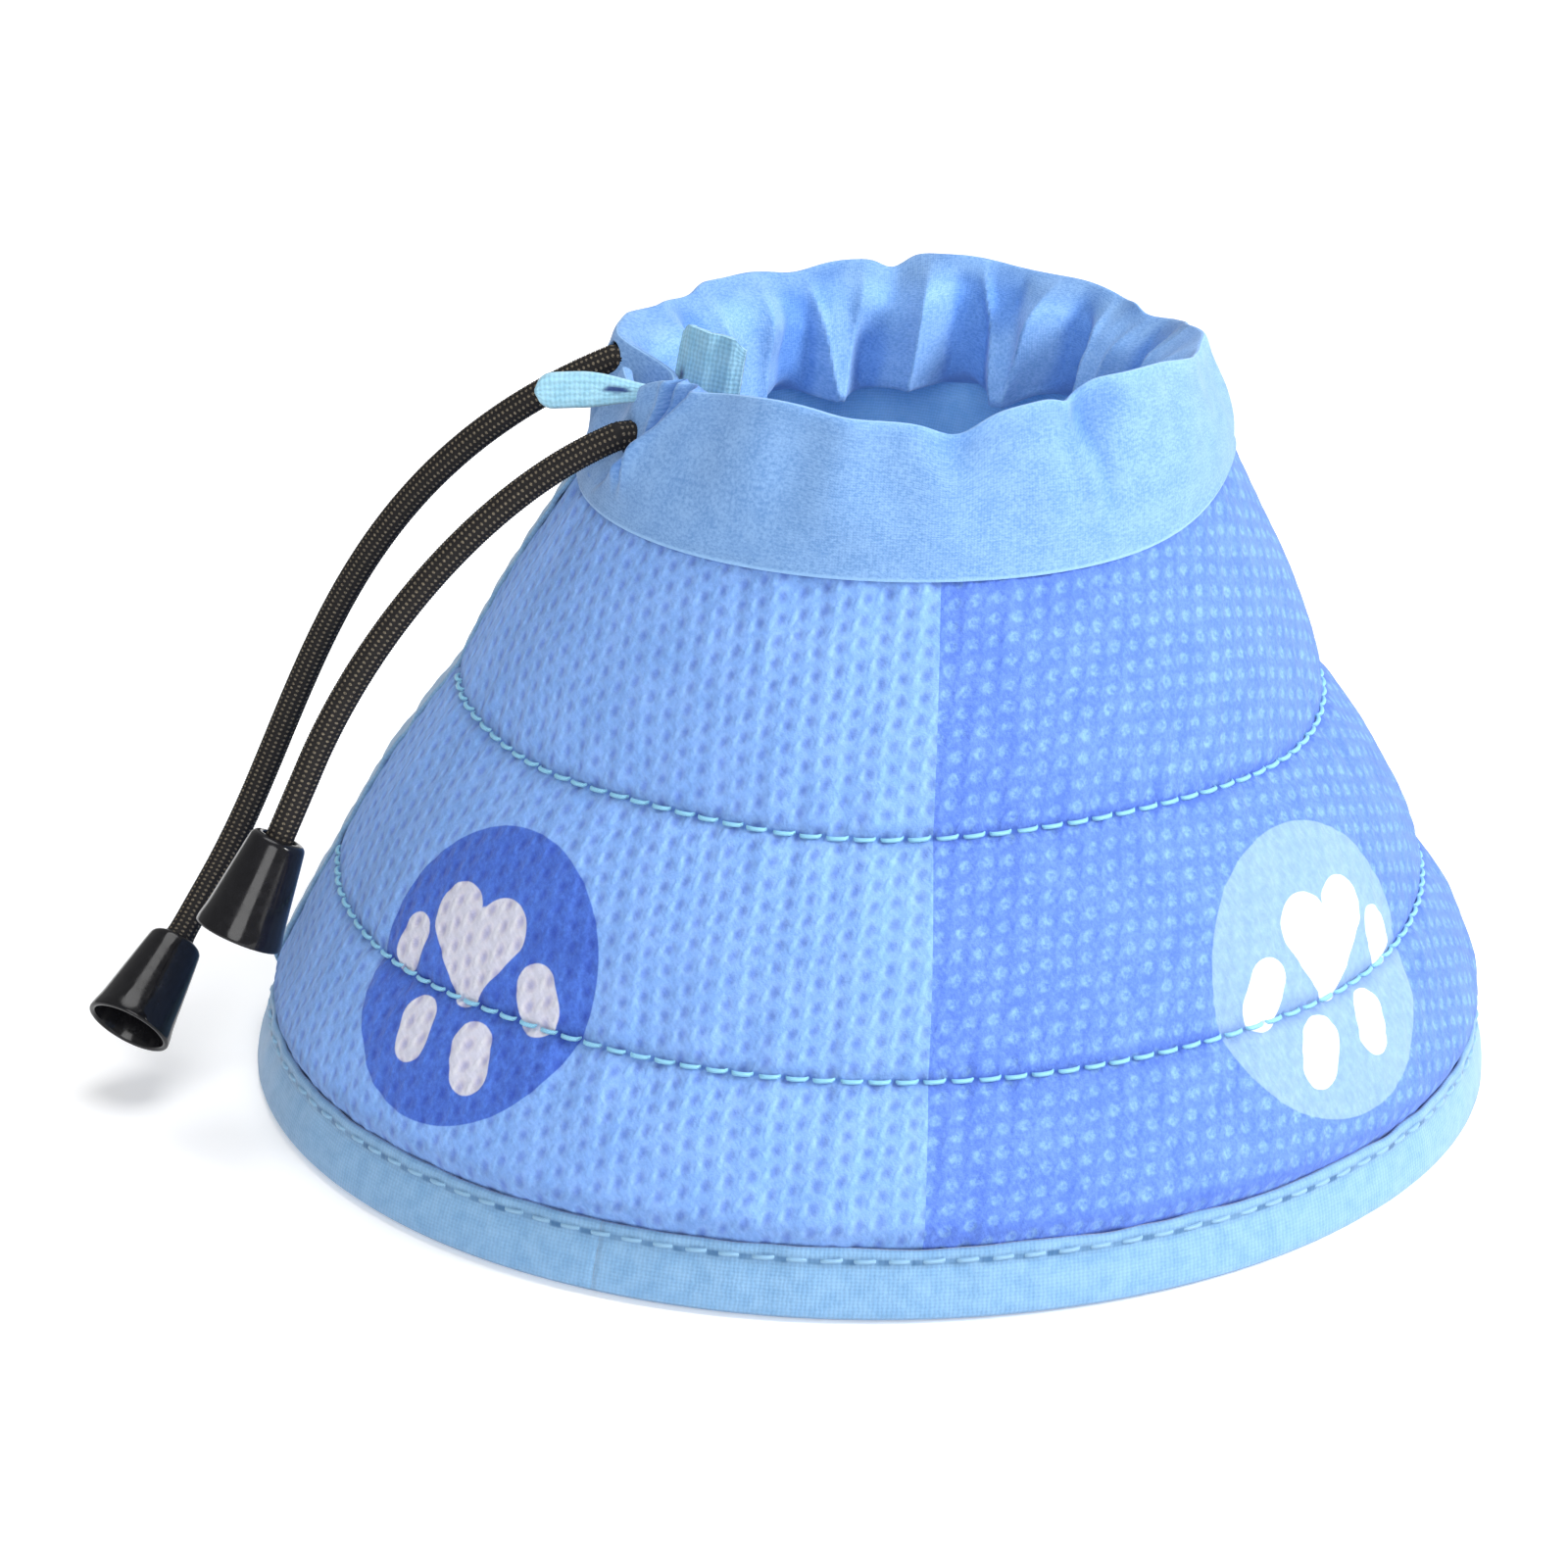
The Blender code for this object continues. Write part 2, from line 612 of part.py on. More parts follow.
cord_tail("cord_tail_front", FRONT_TAIL, front_swing)
cord_tail("cord_tail_rear", REAR_TAIL, rear_swing)
cord_end("cord_end_front", FRONT_TAIL, front_swing)
cord_end("cord_end_rear", REAR_TAIL, rear_swing)
cord_slit("neck_band_flap", FRONT_TAIL, FRONT_SLIT_WAY.normalized())
cord_slit("neck_band_back", REAR_TAIL, REAR_SLIT_WAY.normalized())
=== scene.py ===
"""Looks of the soft recovery collar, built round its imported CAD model.

Lengths are in metres in the CAD frame. An azimuth is in degrees from the front (-Y), positive towards +X.
A slant is the way up the sloping wall from the top of the hem tape.
"""

import json
import math

import bpy
import numpy as np
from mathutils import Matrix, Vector


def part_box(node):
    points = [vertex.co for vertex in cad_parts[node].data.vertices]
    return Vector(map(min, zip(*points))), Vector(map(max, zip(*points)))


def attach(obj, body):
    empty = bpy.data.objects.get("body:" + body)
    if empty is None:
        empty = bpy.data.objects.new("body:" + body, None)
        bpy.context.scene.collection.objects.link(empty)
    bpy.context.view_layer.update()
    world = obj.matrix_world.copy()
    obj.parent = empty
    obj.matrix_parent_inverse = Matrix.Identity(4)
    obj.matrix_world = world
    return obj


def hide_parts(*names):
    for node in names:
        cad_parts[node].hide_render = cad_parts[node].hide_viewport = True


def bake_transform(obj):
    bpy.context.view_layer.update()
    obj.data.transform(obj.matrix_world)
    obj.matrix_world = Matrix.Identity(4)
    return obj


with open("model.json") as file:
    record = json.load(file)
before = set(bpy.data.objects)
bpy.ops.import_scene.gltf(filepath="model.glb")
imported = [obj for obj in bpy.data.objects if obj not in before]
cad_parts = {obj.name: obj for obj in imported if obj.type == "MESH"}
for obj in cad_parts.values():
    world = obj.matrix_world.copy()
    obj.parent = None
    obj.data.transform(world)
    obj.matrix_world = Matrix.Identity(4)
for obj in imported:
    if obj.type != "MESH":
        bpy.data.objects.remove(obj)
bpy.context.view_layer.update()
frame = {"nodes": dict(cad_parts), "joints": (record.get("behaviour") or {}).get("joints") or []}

MM = 0.001
CM = 0.01
LEAN = 5.7 / 88  # the neck sits this far towards +X for each unit of height, as in the CAD


# ---- measures of the frame


def radii_and_heights(node):
    co = np.array([v.co for v in frame["nodes"][node].data.vertices])
    return np.hypot(co[:, 0] - LEAN * co[:, 2], co[:, 1]), co[:, 2]


def outline(node):
    """(radius, height) stations up the outer face of a turned CAD node."""
    radius, height = radii_and_heights(node)
    height = np.round(height, 5)
    return np.array([(radius[height == z].max(), z) for z in np.unique(height)])


def joint(name):
    return next(j for j in frame["joints"] if j["name"] == name)


SEWN = outline("outer_cloth_main")[[2, 6, 10, 14]]  # top of the hem tape, two quilting lines, neck seam
ENDS = np.concatenate([[0], np.cumsum(np.hypot(*np.diff(SEWN, axis=0).T))])
NECK = ENDS[-1]
HEM_RADIUS = SEWN[0, 0]
QUILT_RADIUS = SEWN[1, 0]
TAPE_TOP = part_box("hem_binding_main")[1].z
TAPE_LINE = outline("hem_binding_main")
HEM_STITCH_HEIGHT = radii_and_heights("hem_thread_main")[1].mean()
CHANNEL_RADIUS = radii_and_heights("drawcord_main")[0].mean()
SIN_CONE = (HEM_RADIUS - SEWN[-1, 0]) / NECK
COS_CONE = 0.885
NECK_SLANT = SEWN[-1, 0] / SIN_CONE

# Where the soft pieces are divided, in degrees.
FLAP_EDGE = -98
LEFT_SPLIT = -25
RIGHT_SPLIT = 101
REAR_END = 261
UNDERLAP_END = 295
FLAP_BAND_EDGE = -88
REAR_BAND_END = 276
STRETCHES = {
    "left": (FLAP_EDGE + 0.4, LEFT_SPLIT),
    "front": (LEFT_SPLIT, RIGHT_SPLIT),
    "rear": (RIGHT_SPLIT, REAR_END),
}
# Borders of the printed panels, and the badges with their height up the slant.
PRINT_BORDERS = (3.3, RIGHT_SPLIT, 197)
BADGES = (-47.6, 49.7, 147.0, 243.6)
BADGE_SLANT = 24 * MM
BADGE_RADIUS_MM = 20.6

# Thicknesses and offsets.
CLOTH = 0.7 * MM
PINCHED = 3.0 * MM
PUFF_OUT = np.array([2.0, 2.25, 1.35]) * MM
PUFF_IN = np.array([2.0, 2.3, 1.8]) * MM
FLAP_LINING = 3.5 * MM
FLAP_ARCH = 1.9 * MM
FLAP_FLATNESS = 0.62
UNDERLAP_NEAR = 6.9 * MM
UNDERLAP_FAR = 8.9 * MM
FOOT_RISE = 4.6 * MM
GRID = 0.65 * MM * 1

# Stitches: pitches, and how far up the tape the row of the hem is, in centimetres.
QUILT_PITCH = 3.6 * MM
HEM_PITCH_CM = 0.44
HEM_ROW_CM = 0.74

# Lattice of the mesh holes on the flat cloth, in millimetres.
LATTICE = np.array([(2.90, 0.56), (0.20, 2.98)])
HOLE_TILT = math.radians(-20)
HOLE_SIZE = (0.72, 1.05)


# ---- small maths


def smooth(x, low, high):
    t = np.clip((x - low) / (high - low), 0, 1)
    return t * t * (3 - 2 * t)


def hump(x, width):
    return np.exp(-((x / width) ** 2))


def ripples(x, y, length, seed, count=14):
    """Smooth random field about a unit high, with bumps of about this length."""
    rng = np.random.default_rng(seed)
    angles = rng.uniform(0, 2 * np.pi, count)
    phases = rng.uniform(0, 2 * np.pi, count)
    sizes = length * rng.uniform(0.75, 1.5, count)
    total = 0
    for angle, phase, size in zip(angles, phases, sizes):
        total = total + np.sin(2 * np.pi / size * (x * np.cos(angle) + y * np.sin(angle)) + phase)
    return total / math.sqrt(count)


def waver(x, length, seed, count=9):
    """Smooth random line about a unit high, with bends of about this length."""
    rng = np.random.default_rng(seed)
    phases = rng.uniform(0, 2 * np.pi, count)
    sizes = length * rng.uniform(0.7, 1.6, count)
    total = sum(np.sin(2 * np.pi * x / size + phase) for size, phase in zip(sizes, phases))
    return total / math.sqrt(count)


def angle_gap(azimuth, centre):
    return (azimuth - centre + 180) % 360 - 180


def place(radius, height, azimuth):
    turn = np.radians(azimuth)
    x = radius * np.sin(turn) + LEAN * height
    return np.stack([x, -radius * np.cos(turn), height + 0 * turn], -1)


def unit(v):
    return v / np.maximum(np.linalg.norm(v, axis=-1, keepdims=True), 1e-12)


def run_along(points):
    """Distance along a line of points, from its first."""
    return np.concatenate([[0], np.cumsum(np.linalg.norm(np.diff(points, axis=0), axis=-1))])


def bezier(start, one, two, end, t):
    return (1 - t) ** 3 * start + 3 * t * (1 - t) ** 2 * one + 3 * t * t * (1 - t) * two + t**3 * end


def flat(azimuth, slant):
    """Place on the flat cloth before it was sewn into a cone, in centimetres."""
    rho = (NECK_SLANT + NECK - slant) / CM
    phi = np.radians(azimuth * SIN_CONE)
    return np.stack([rho * np.sin(phi), -rho * np.cos(phi)], -1)


def flat_mm(azimuth, slant):
    """The same place as separate x and y, in millimetres."""
    return np.moveaxis(flat(azimuth, slant) * 10, -1, 0)


def hole(azimuth, slant):
    """Depth share of the nearest mesh hole."""
    steps = flat(azimuth, slant) * 10 @ np.linalg.inv(LATTICE)
    near = (steps - np.round(steps)) @ LATTICE
    c, s = math.cos(HOLE_TILT), math.sin(HOLE_TILT)
    across = (near[..., 0] * c + near[..., 1] * s) / HOLE_SIZE[0]
    along = (near[..., 1] * c - near[..., 0] * s) / HOLE_SIZE[1]
    return np.exp(-(across**2 + along**2))


# ---- shape of the wall


def foot_rise(azimuth):
    """On the right the neck band starts higher up the cone."""
    return FOOT_RISE * hump(angle_gap(azimuth, 82), 30)


def seam_slant(index, azimuth):
    """Slant of a sewn line, which wanders a little."""
    if index == 0:
        return ENDS[0] + 0 * azimuth
    if index == 3:
        return NECK + foot_rise(azimuth)
    return ENDS[index] + 0.35 * MM * waver(azimuth, 55, 40 + index)


def on_line(slant):
    radius = np.interp(slant, ENDS, SEWN[:, 0])
    height = np.interp(slant, ENDS, SEWN[:, 1])
    over = np.maximum(slant - NECK, 0)
    under = np.minimum(slant, 0)
    return radius + 0.05 * over - 0.15 * np.abs(under), height + over + under


def hem_ease(slant):
    """The cloth swells out over the top of the hem tape."""
    return 0.95 * MM * (1 - smooth(slant, 0, 9 * MM)) * smooth(slant, -2.6 * MM, -0.8 * MM)


def puff(slant, azimuth, sizes):
    """Swelling of the padding between the sewn lines, less in the flap, which is arched instead."""
    total = 0 * slant * azimuth
    for row in range(3):
        low = seam_slant(row, azimuth) - 0.6 * MM * (row == 0)
        share = np.clip((slant - low) / (seam_slant(row + 1, azimuth) - low), 0, 1)
        skewed = share + 0.10 * np.sin(np.pi * share) * share
        swell = np.clip(np.sin(np.pi * np.clip(skewed, 0, 1)), 0, 1) ** 0.72
        total = total + sizes[row] * swell
    beside = angle_gap(azimuth, 0)
    flap = smooth(beside, -104, -97) * (1 - smooth(beside, -82, -62))
    arch = FLAP_ARCH * np.sin(np.pi * np.clip(slant / NECK, 0, 1) ** 1.25) ** 0.8
    return total + flap * (arch - FLAP_FLATNESS * total)


def gathers(slant, azimuth):
    """Creases that run out of the sewn lines, and the pull of each stitch."""
    total = 0 * slant * azimuth
    for index, depth in enumerate((0.18, 0.34, 0.34, 0.30)):
        away = np.abs(slant - seam_slant(index, azimuth)) / MM
        arc = np.radians(azimuth) * SEWN[index, 0] / MM
        crease = waver(arc, 9.0, 60 + index) + 0.6 * waver(arc, 4.6, 70 + index)
        total = total + depth * MM * crease * np.exp(-away / 6.5) * (1 - np.exp(-away / 1.4))
    return total


def outer_wall(slant, azimuth, detail=True, sink=0.0):
    """Point on the outside of the quilted wall."""
    radius, height = on_line(slant)
    radius = radius - 0.55 * np.maximum(slant - NECK, 0) * foot_rise(azimuth) / FOOT_RISE
    cloth = flat_mm(azimuth, slant)
    swell = puff(slant, azimuth, PUFF_OUT)
    fullness = swell / PUFF_OUT.max()
    groove = sum(hump(slant - seam_slant(row, azimuth), 0.75 * MM) for row in (1, 2))
    out = swell + gathers(slant, azimuth) - 0.35 * MM * groove
    out = out + fullness * (0.32 * MM * ripples(*cloth, 38, 3) + 0.10 * MM * ripples(*cloth, 13, 4))
    if detail:
        out = out - 0.26 * MM * hole(azimuth, slant)
    out = out + hem_ease(slant) - sink
    return place(radius + out * COS_CONE, height + out * SIN_CONE, azimuth)


def inner_wall(slant, azimuth, lift=0.0):
    """Point on the inside of the wall: padded, and thin in the flap."""
    radius, height = on_line(slant)
    swell = puff(slant, azimuth, PUFF_IN)
    swell = swell + 0.3 * MM * ripples(*flat_mm(azimuth, slant), 16, 8) * swell / PUFF_IN.max()
    padded = PINCHED + swell
    outward = puff(slant, azimuth, PUFF_OUT)
    thin = FLAP_LINING - outward
    into = thin + (padded - thin) * smooth(azimuth, -61.5, -55)
    into = into + (UNDERLAP_FAR - outward - into) * smooth(azimuth, 250, 260.4) - lift
    beside = angle_gap(azimuth, 0)
    flap = smooth(beside, -110, -100) * (1 - smooth(beside, -82, -70))
    flap_top = flap * smooth(slant, NECK - 2.5 * MM, NECK)
    into = into + (0.6 * MM - 0.5 * lift - into) * flap_top
    return place(radius - into, height - 0.25 * into * SIN_CONE, azimuth)


# ---- meshes


def finish_mesh(name, verts, quads, uvs=None, attributes=None, caps=(), groups=None):
    """Object from points, quads and end caps. uvs and attributes are per point."""
    mesh = bpy.data.meshes.new(name)
    loops = np.concatenate([quads.ravel(), *caps])
    sizes = np.concatenate([np.full(len(quads), 4), [len(cap) for cap in caps]])
    mesh.vertices.add(len(verts))
    mesh.vertices.foreach_set("co", np.asarray(verts, np.float32).ravel())
    mesh.loops.add(len(loops))
    mesh.loops.foreach_set("vertex_index", loops.astype(np.int32))
    mesh.polygons.add(len(sizes))
    mesh.polygons.foreach_set("loop_start", (np.cumsum(sizes) - sizes).astype(np.int32))
    if groups is not None:
        mesh.polygons.foreach_set("material_index", groups.astype(np.int32))
    mesh.update(calc_edges=True)
    if uvs is not None:
        layer = mesh.uv_layers.new(name="UVMap")
        layer.data.foreach_set("uv", np.asarray(uvs, np.float32)[loops].ravel())
    for key, values in (attributes or {}).items():
        layer = mesh.attributes.new(key, "FLOAT", "POINT")
        layer.data.foreach_set("value", np.asarray(values, np.float32))
    mesh.polygons.foreach_set("use_smooth", np.ones(len(sizes), bool))
    mesh.validate()
    made = bpy.data.objects.new(name, mesh)
    bpy.context.scene.collection.objects.link(made)
    return made


def surface_normals(front):
    """Normals of a grid that has one spare column at each side; the spares are dropped."""
    along = np.gradient(front, axis=0)[:, 1:-1]
    across = front[:, 2:] - front[:, :-2]
    return unit(np.cross(across, along))


def core(*grids):
    """Grids without their spare columns."""
    return [grid[:, 1:-1] for grid in grids]


def shell(name, front, back, uv, normals=None, attributes=None, keep=None, two_sided=False):
    """Closed sheet between two grids of points. keep says which cells are there."""
    rows, columns = front.shape[:2]
    index = np.arange(rows * columns).reshape(rows, columns)
    quads = np.stack([index[:-1, :-1], index[:-1, 1:], index[1:, 1:], index[1:, :-1]], -1)
    keep = np.ones(quads.shape[:2], bool) if keep is None else keep
    behind = rows * columns
    faces = [quads[keep], quads[keep][:, ::-1] + behind]
    padded = np.pad(keep, 1)
    for down, right, a, b in ((-1, 0, 0, 1), (0, 1, 1, 2), (1, 0, 2, 3), (0, -1, 3, 0)):
        beside = padded[1 + down : rows + down, 1 + right : columns + right]
        edge = quads[keep & ~beside]
        faces.append(np.stack([edge[:, b], edge[:, a], edge[:, a] + behind, edge[:, b] + behind], -1))
    fronts = len(faces[0])
    faces = np.concatenate(faces)
    used, corners = np.unique(faces, return_inverse=True)
    verts = np.concatenate([front.reshape(-1, 3), back.reshape(-1, 3)])[used]
    uvs = np.concatenate([uv.reshape(-1, 2)] * 2)[used]
    extra = {k: np.concatenate([v.ravel()] * 2)[used] for k, v in (attributes or {}).items()}
    groups = np.arange(len(faces)) >= fronts if two_sided else None
    made = finish_mesh(name, verts, corners.reshape(faces.shape), uvs, extra, groups=groups)
    if normals is not None:
        both = np.concatenate([normals.reshape(-1, 3), -normals.reshape(-1, 3)])[faces.ravel()]
        both[2 * fronts * 4 :] = 0
        made.data.normals_split_custom_set(both.astype(np.float32))
    return made


def ring_faces(count, around):
    """Quads and end caps of a tube of rings. The last row of quads joins the last ring to the first."""
    index = np.arange(count * around).reshape(count, around)
    after = np.roll(index, -1, axis=1)
    quads = np.stack([index, after, np.roll(after, -1, axis=0), np.roll(index, -1, axis=0)], -1)
    return quads.reshape(-1, 4), np.array([index[0][::-1], index[-1]])


def tube(name, rings, uvs, attributes=None):
    """Closed body through rings of points, each ring closed on itself."""
    quads, caps = ring_faces(*rings.shape[:2])
    extra = {k: v.ravel() for k, v in (attributes or {}).items()}
    return finish_mesh(name, rings.reshape(-1, 3), quads[: -rings.shape[1]], uvs.reshape(-1, 2), extra, caps)


def circle(around):
    return np.linspace(0, 2 * np.pi, around, endpoint=False)


def hoops(centres, first, second, girth, around):
    """Rings round a line of centres, in the plane of two directions."""
    turns = circle(around)[None, :, None]
    spokes = np.cos(turns) * first[:, None] + np.sin(turns) * second[:, None]
    return centres[:, None] + spokes * girth[..., None]


def columns_between(start, end, radius, step):
    """Azimuths from start to end, with one spare beyond each end."""
    count = max(4, int(round(math.radians(end - start) * radius / step)))
    gap = (end - start) / count
    return np.linspace(start - gap, end + gap, count + 3)


def wall_grid(start, end, step, slants):
    """Slants and azimuths of a grid on the wall, with a spare column at each side."""
    return np.meshgrid(slants, columns_between(start, end, QUILT_RADIUS, step), indexing="ij")


# ---- materials


class Paint:
    """Small helper that adds nodes to one material. Colours are red, green and blue."""

    def __init__(self, name, roughness, specular, sheen=0.0):
        self.material = bpy.data.materials.new(name)
        self.material.use_nodes = True
        self.tree = self.material.node_tree
        self.shader = self.tree.nodes["Principled BSDF"]
        self.put(self.shader, "Roughness", roughness)
        self.put(self.shader, "Specular IOR Level", specular)
        self.put(self.shader, "Sheen Weight", sheen)
        self.put(self.shader, "Sheen Roughness", 0.5)

    def put(self, node, key, value):
        if isinstance(value, bpy.types.NodeSocket):
            self.tree.links.new(value, node.inputs[key])
        else:
            node.inputs[key].default_value = value

    def node(self, kind, inputs, output=0, **settings):
        made = self.tree.nodes.new("ShaderNode" + kind)
        for key, value in settings.items():
            setattr(made, key, value)
        for key, value in inputs.items():
            self.put(made, key, value)
        return made.outputs[output]

    def math(self, operation, a, b=0.0, c=0.0):
        return self.node("Math", {0: a, 1: b, 2: c}, operation=operation)

    def times(self, a, b):
        return self.math("MULTIPLY", a, b)

    def plus(self, a, b):
        return self.math("ADD", a, b)

    def vector(self, operation, a, b=(0, 0, 0), output=0):
        return self.node("VectorMath", {0: a, 1: b}, output, operation=operation)

    def stretch(self, vector, scale):
        return self.vector("MULTIPLY", vector, scale)

    def mix(self, factor, a, b, kind="MIX"):
        a, b = ((*colour, 1.0) if isinstance(colour, tuple) else colour for colour in (a, b))
        return self.node("Mix", {0: factor, 6: a, 7: b}, 2, data_type="RGBA", blend_type=kind)

    def gain(self, colour, factor, share=None):
        """Colour times a factor, everywhere or by a share."""
        changed = self.mix(1.0, colour, factor, "MULTIPLY")
        return changed if share is None else self.mix(share, colour, changed)

    def ramp(self, value, low, high, to_low=0.0, to_high=1.0):
        settings = {"Value": value, "From Min": low, "From Max": high, "To Min": to_low, "To Max": to_high}
        return self.node("MapRange", settings, interpolation_type="SMOOTHSTEP")

    def noise(self, vector, scale, detail=2.0, rough=0.5, output="Fac"):
        settings = {"Vector": vector, "Scale": scale, "Detail": detail, "Roughness": rough}
        return self.node("TexNoise", settings, output)

    def wave(self, vector, scale, distortion=0.0, direction="X"):
        settings = {"Vector": vector, "Scale": scale, "Distortion": distortion}
        return self.node("TexWave", settings, 1, bands_direction=direction)

    def uv(self):
        return self.node("UVMap", {}, "UV", uv_map="UVMap")

    def place(self):
        return self.node("TexCoord", {}, "Object")

    def attribute(self, name):
        return self.node("Attribute", {}, "Fac", attribute_name=name)

    def surface(self, colour, rough, height, strength, distance):
        """Join colour, roughness and bump to the shader."""
        normal = self.node("Bump", {"Height": height, "Strength": strength, "Distance": distance})
        for key, value in (("Base Color", colour), ("Roughness", rough), ("Normal", normal)):
            self.put(self.shader, key, value)
        return self.material


def hole_distance(paint, size, offset=(0.0, 0.0)):
    """Distance from the nearest mesh hole, in hole sizes."""
    basis = np.linalg.inv(LATTICE / 10)
    drift, reach = paint.noise(paint.uv(), 1.1, 1.0, output="Color"), 0.16
    uv = paint.vector("ADD", paint.uv(), paint.stretch(drift, (reach, reach, 0)))
    parts = []
    for axis in (0, 1):
        step = paint.vector("DOT_PRODUCT", uv, (*basis[:, axis], 0), "Value")
        shifted = paint.plus(step, 0.5 + offset[axis] - reach / 2 * basis[:, axis].sum())
        parts.append(paint.math("SUBTRACT", paint.math("FRACT", shifted), 0.5))
    local = paint.node("CombineXYZ", dict(enumerate(parts)))
    c, s = math.cos(HOLE_TILT), math.sin(HOLE_TILT)
    axes = (LATTICE @ [c, s] / size[0], LATTICE @ [-s, c] / size[1])
    both = [paint.vector("DOT_PRODUCT", local, (*axis, 0), "Value") for axis in axes]
    return paint.vector("LENGTH", paint.node("CombineXYZ", dict(enumerate(both))), output="Value")


def printed_mesh(name, cloth, badge, paw, size, ring_gain, hole_gain, badge_ring):
    """Printed spacer mesh with knitted holes. Cloth and badge each have a ground and a tint. Painted shade
    darkens the holes of the light print, the seams and the needle holes; painted highlight lights the ridges
    beside the holes.
    """
    paint = Paint(name, 0.82, 0.2, 0.08)
    uv = paint.uv()
    inside, toes = (paint.ramp(paint.attribute(field), 0.12, -0.12) for field in ("badge", "paw"))
    seen = paint.ramp(inside, 0, 1, 1.0, badge_ring)
    away = hole_distance(paint, size)
    pit = paint.times(paint.ramp(away, 1.35, 0.1), seen)
    rim = paint.times(paint.ramp(away, 0.0, 0.75, 0.35, 1.0), paint.ramp(away, 1.65, 0.85))
    broken = paint.ramp(paint.noise(uv, 12.0, 2.0, 0.6), 0.30, 0.55)
    rim = paint.times(paint.times(rim, broken), seen)
    cloudy = paint.noise(paint.stretch(uv, (1, 0.7, 1)), 2.2, 3.0)
    flecks = paint.noise(paint.stretch(uv, (1, 0.8, 1)), 17.0, 3.0, 0.75)
    slanted = paint.node("Mapping", {"Vector": uv, "Rotation": (0, 0, math.radians(-32))})
    streaks = paint.noise(paint.stretch(slanted, (3.4, 1.0, 1)), 4.6, 2.0, 0.6)
    share = paint.ramp(paint.math("MULTIPLY_ADD", flecks, 0.8, paint.times(cloudy, 0.4)), 0.42, 0.8)
    printed = paint.mix(inside, paint.mix(share, *cloth), paint.mix(share, *badge))
    printed = paint.mix(toes, printed, paw)
    printed = paint.gain(printed, paint.ramp(streaks, 0.28, 0.74, 0.93, 1.08))
    printed = paint.gain(printed, (ring_gain * 1.04, ring_gain, 1.0), rim)
    # At each hole the colour is scaled by hole_gain: on the light print the hole is darkened, which is
    # painted shade; on the dark print it is lightened, because the unprinted yarn shows.
    printed = paint.gain(printed, (hole_gain, hole_gain, 0.5 + 0.5 * hole_gain), pit)
    # Painted highlight: a lighter ridge beside each hole, as though lit from the side; the same field also
    # raises the bump below.
    ridge = paint.ramp(hole_distance(paint, (0.5, 1.25), (0.42, 0.1)), 1.2, 0.3)
    ridge = paint.times(ridge, paint.ramp(inside, 0, 1, 1.0, max(badge_ring, 0.4)))
    printed = paint.gain(printed, (1.12, 1.12, 1.06), ridge)
    # Painted shade: the cloth is darkened within about two millimetres of each sewn line, along its groove.
    shaded = paint.gain(printed, paint.ramp(paint.attribute("seam"), 0.3, 2.4, 0.80, 1.0))
    shaded = paint.mix(toes, shaded, printed)
    # Painted shade in the needle holes of the quilting rows.
    shaded = paint.gain(shaded, (0.46, 0.57, 0.74), paint.ramp(paint.attribute("pierced"), 0.1, 0.75))
    fibres = paint.noise(paint.stretch(uv, (1, 1.4, 1)), 30.0, 2.0, 0.65)
    relief = paint.plus(fibres, paint.plus(ridge, paint.times(streaks, 0.8)))
    height = paint.math("MULTIPLY_ADD", pit, -0.9, relief)
    return paint.surface(shaded, paint.ramp(flecks, 0.2, 0.8, 0.72, 0.92), height, 0.6, 0.18 * MM)


def ribbed_cloth(name, colours, pitch, depth, contrast, sheen=0.1, stitched=False):
    """Cloth with fine ribs across one direction of its UV, painted shade where the slot attribute is set, and
    painted shade at the needle holes of the hem and along their row.
    """
    roughness = 0.78
    paint = Paint(name, roughness, 0.25, sheen)
    uv = paint.uv()
    x, y = (paint.node("SeparateXYZ", {0: uv}, axis) for axis in (0, 1))
    line = paint.math("MULTIPLY_ADD", paint.noise(uv, 9.0, 2.0), pitch, x)
    rib = paint.math("MULTIPLY_ADD", paint.math("SINE", paint.times(line, 2 * math.pi / pitch)), 0.5, 0.5)
    cross = paint.math("SINE", paint.times(y, 2 * math.pi / (0.8 * pitch)))
    rib = paint.plus(paint.times(rib, 0.6), paint.times(cross, 0.2))
    cloudy = paint.noise(uv, 4.0, 4.0, 0.6)
    flecks = paint.noise(uv, 26.0, 2.0, 0.7)
    base = paint.mix(paint.ramp(paint.plus(cloudy, paint.times(flecks, 0.5)), 0.5, 0.95), *colours)
    base = paint.gain(base, paint.ramp(rib, -0.2, 0.8, 1.0 - contrast, 1.0 + 0.4 * contrast))
    # Painted shade: where the slot attribute is set, a dark patch stands for the shade inside an opening that
    # is not cut.
    base = paint.mix(paint.attribute("slot"), base, (0.02, 0.05, 0.16))
    if stitched:
        # Painted shade: dark dashes at the needle holes of the hem's row of stitches, and the row darkened a
        # little along its groove.
        turn = paint.math("FRACT", paint.math("MULTIPLY_ADD", x, 1 / HEM_PITCH_CM, 0.5))
        nearby = paint.ramp(paint.math("ABSOLUTE", paint.math("SUBTRACT", turn, 0.5)), 0.27, 0.13)
        level = paint.math("ABSOLUTE", paint.math("SUBTRACT", y, HEM_ROW_CM))
        stitch_hole_shade = paint.times(nearby, paint.ramp(level, 0.065, 0.02))
        stitch_hole_shade = paint.times(stitch_hole_shade, paint.ramp(paint.noise(uv, 1.6, 1.0), 0.35, 0.65, 0.45, 1.0))
        base = paint.mix(stitch_hole_shade, base, (0.045, 0.14, 0.30))
        base = paint.gain(base, paint.ramp(level, 0.12, 0.04, 1.0, 0.86))
    height = paint.math("MULTIPLY_ADD", flecks, 0.5, rib)
    rough = paint.ramp(flecks, 0.2, 0.8, roughness - 0.08, roughness + 0.08)
    return paint.surface(base, rough, height, 0.6, depth)


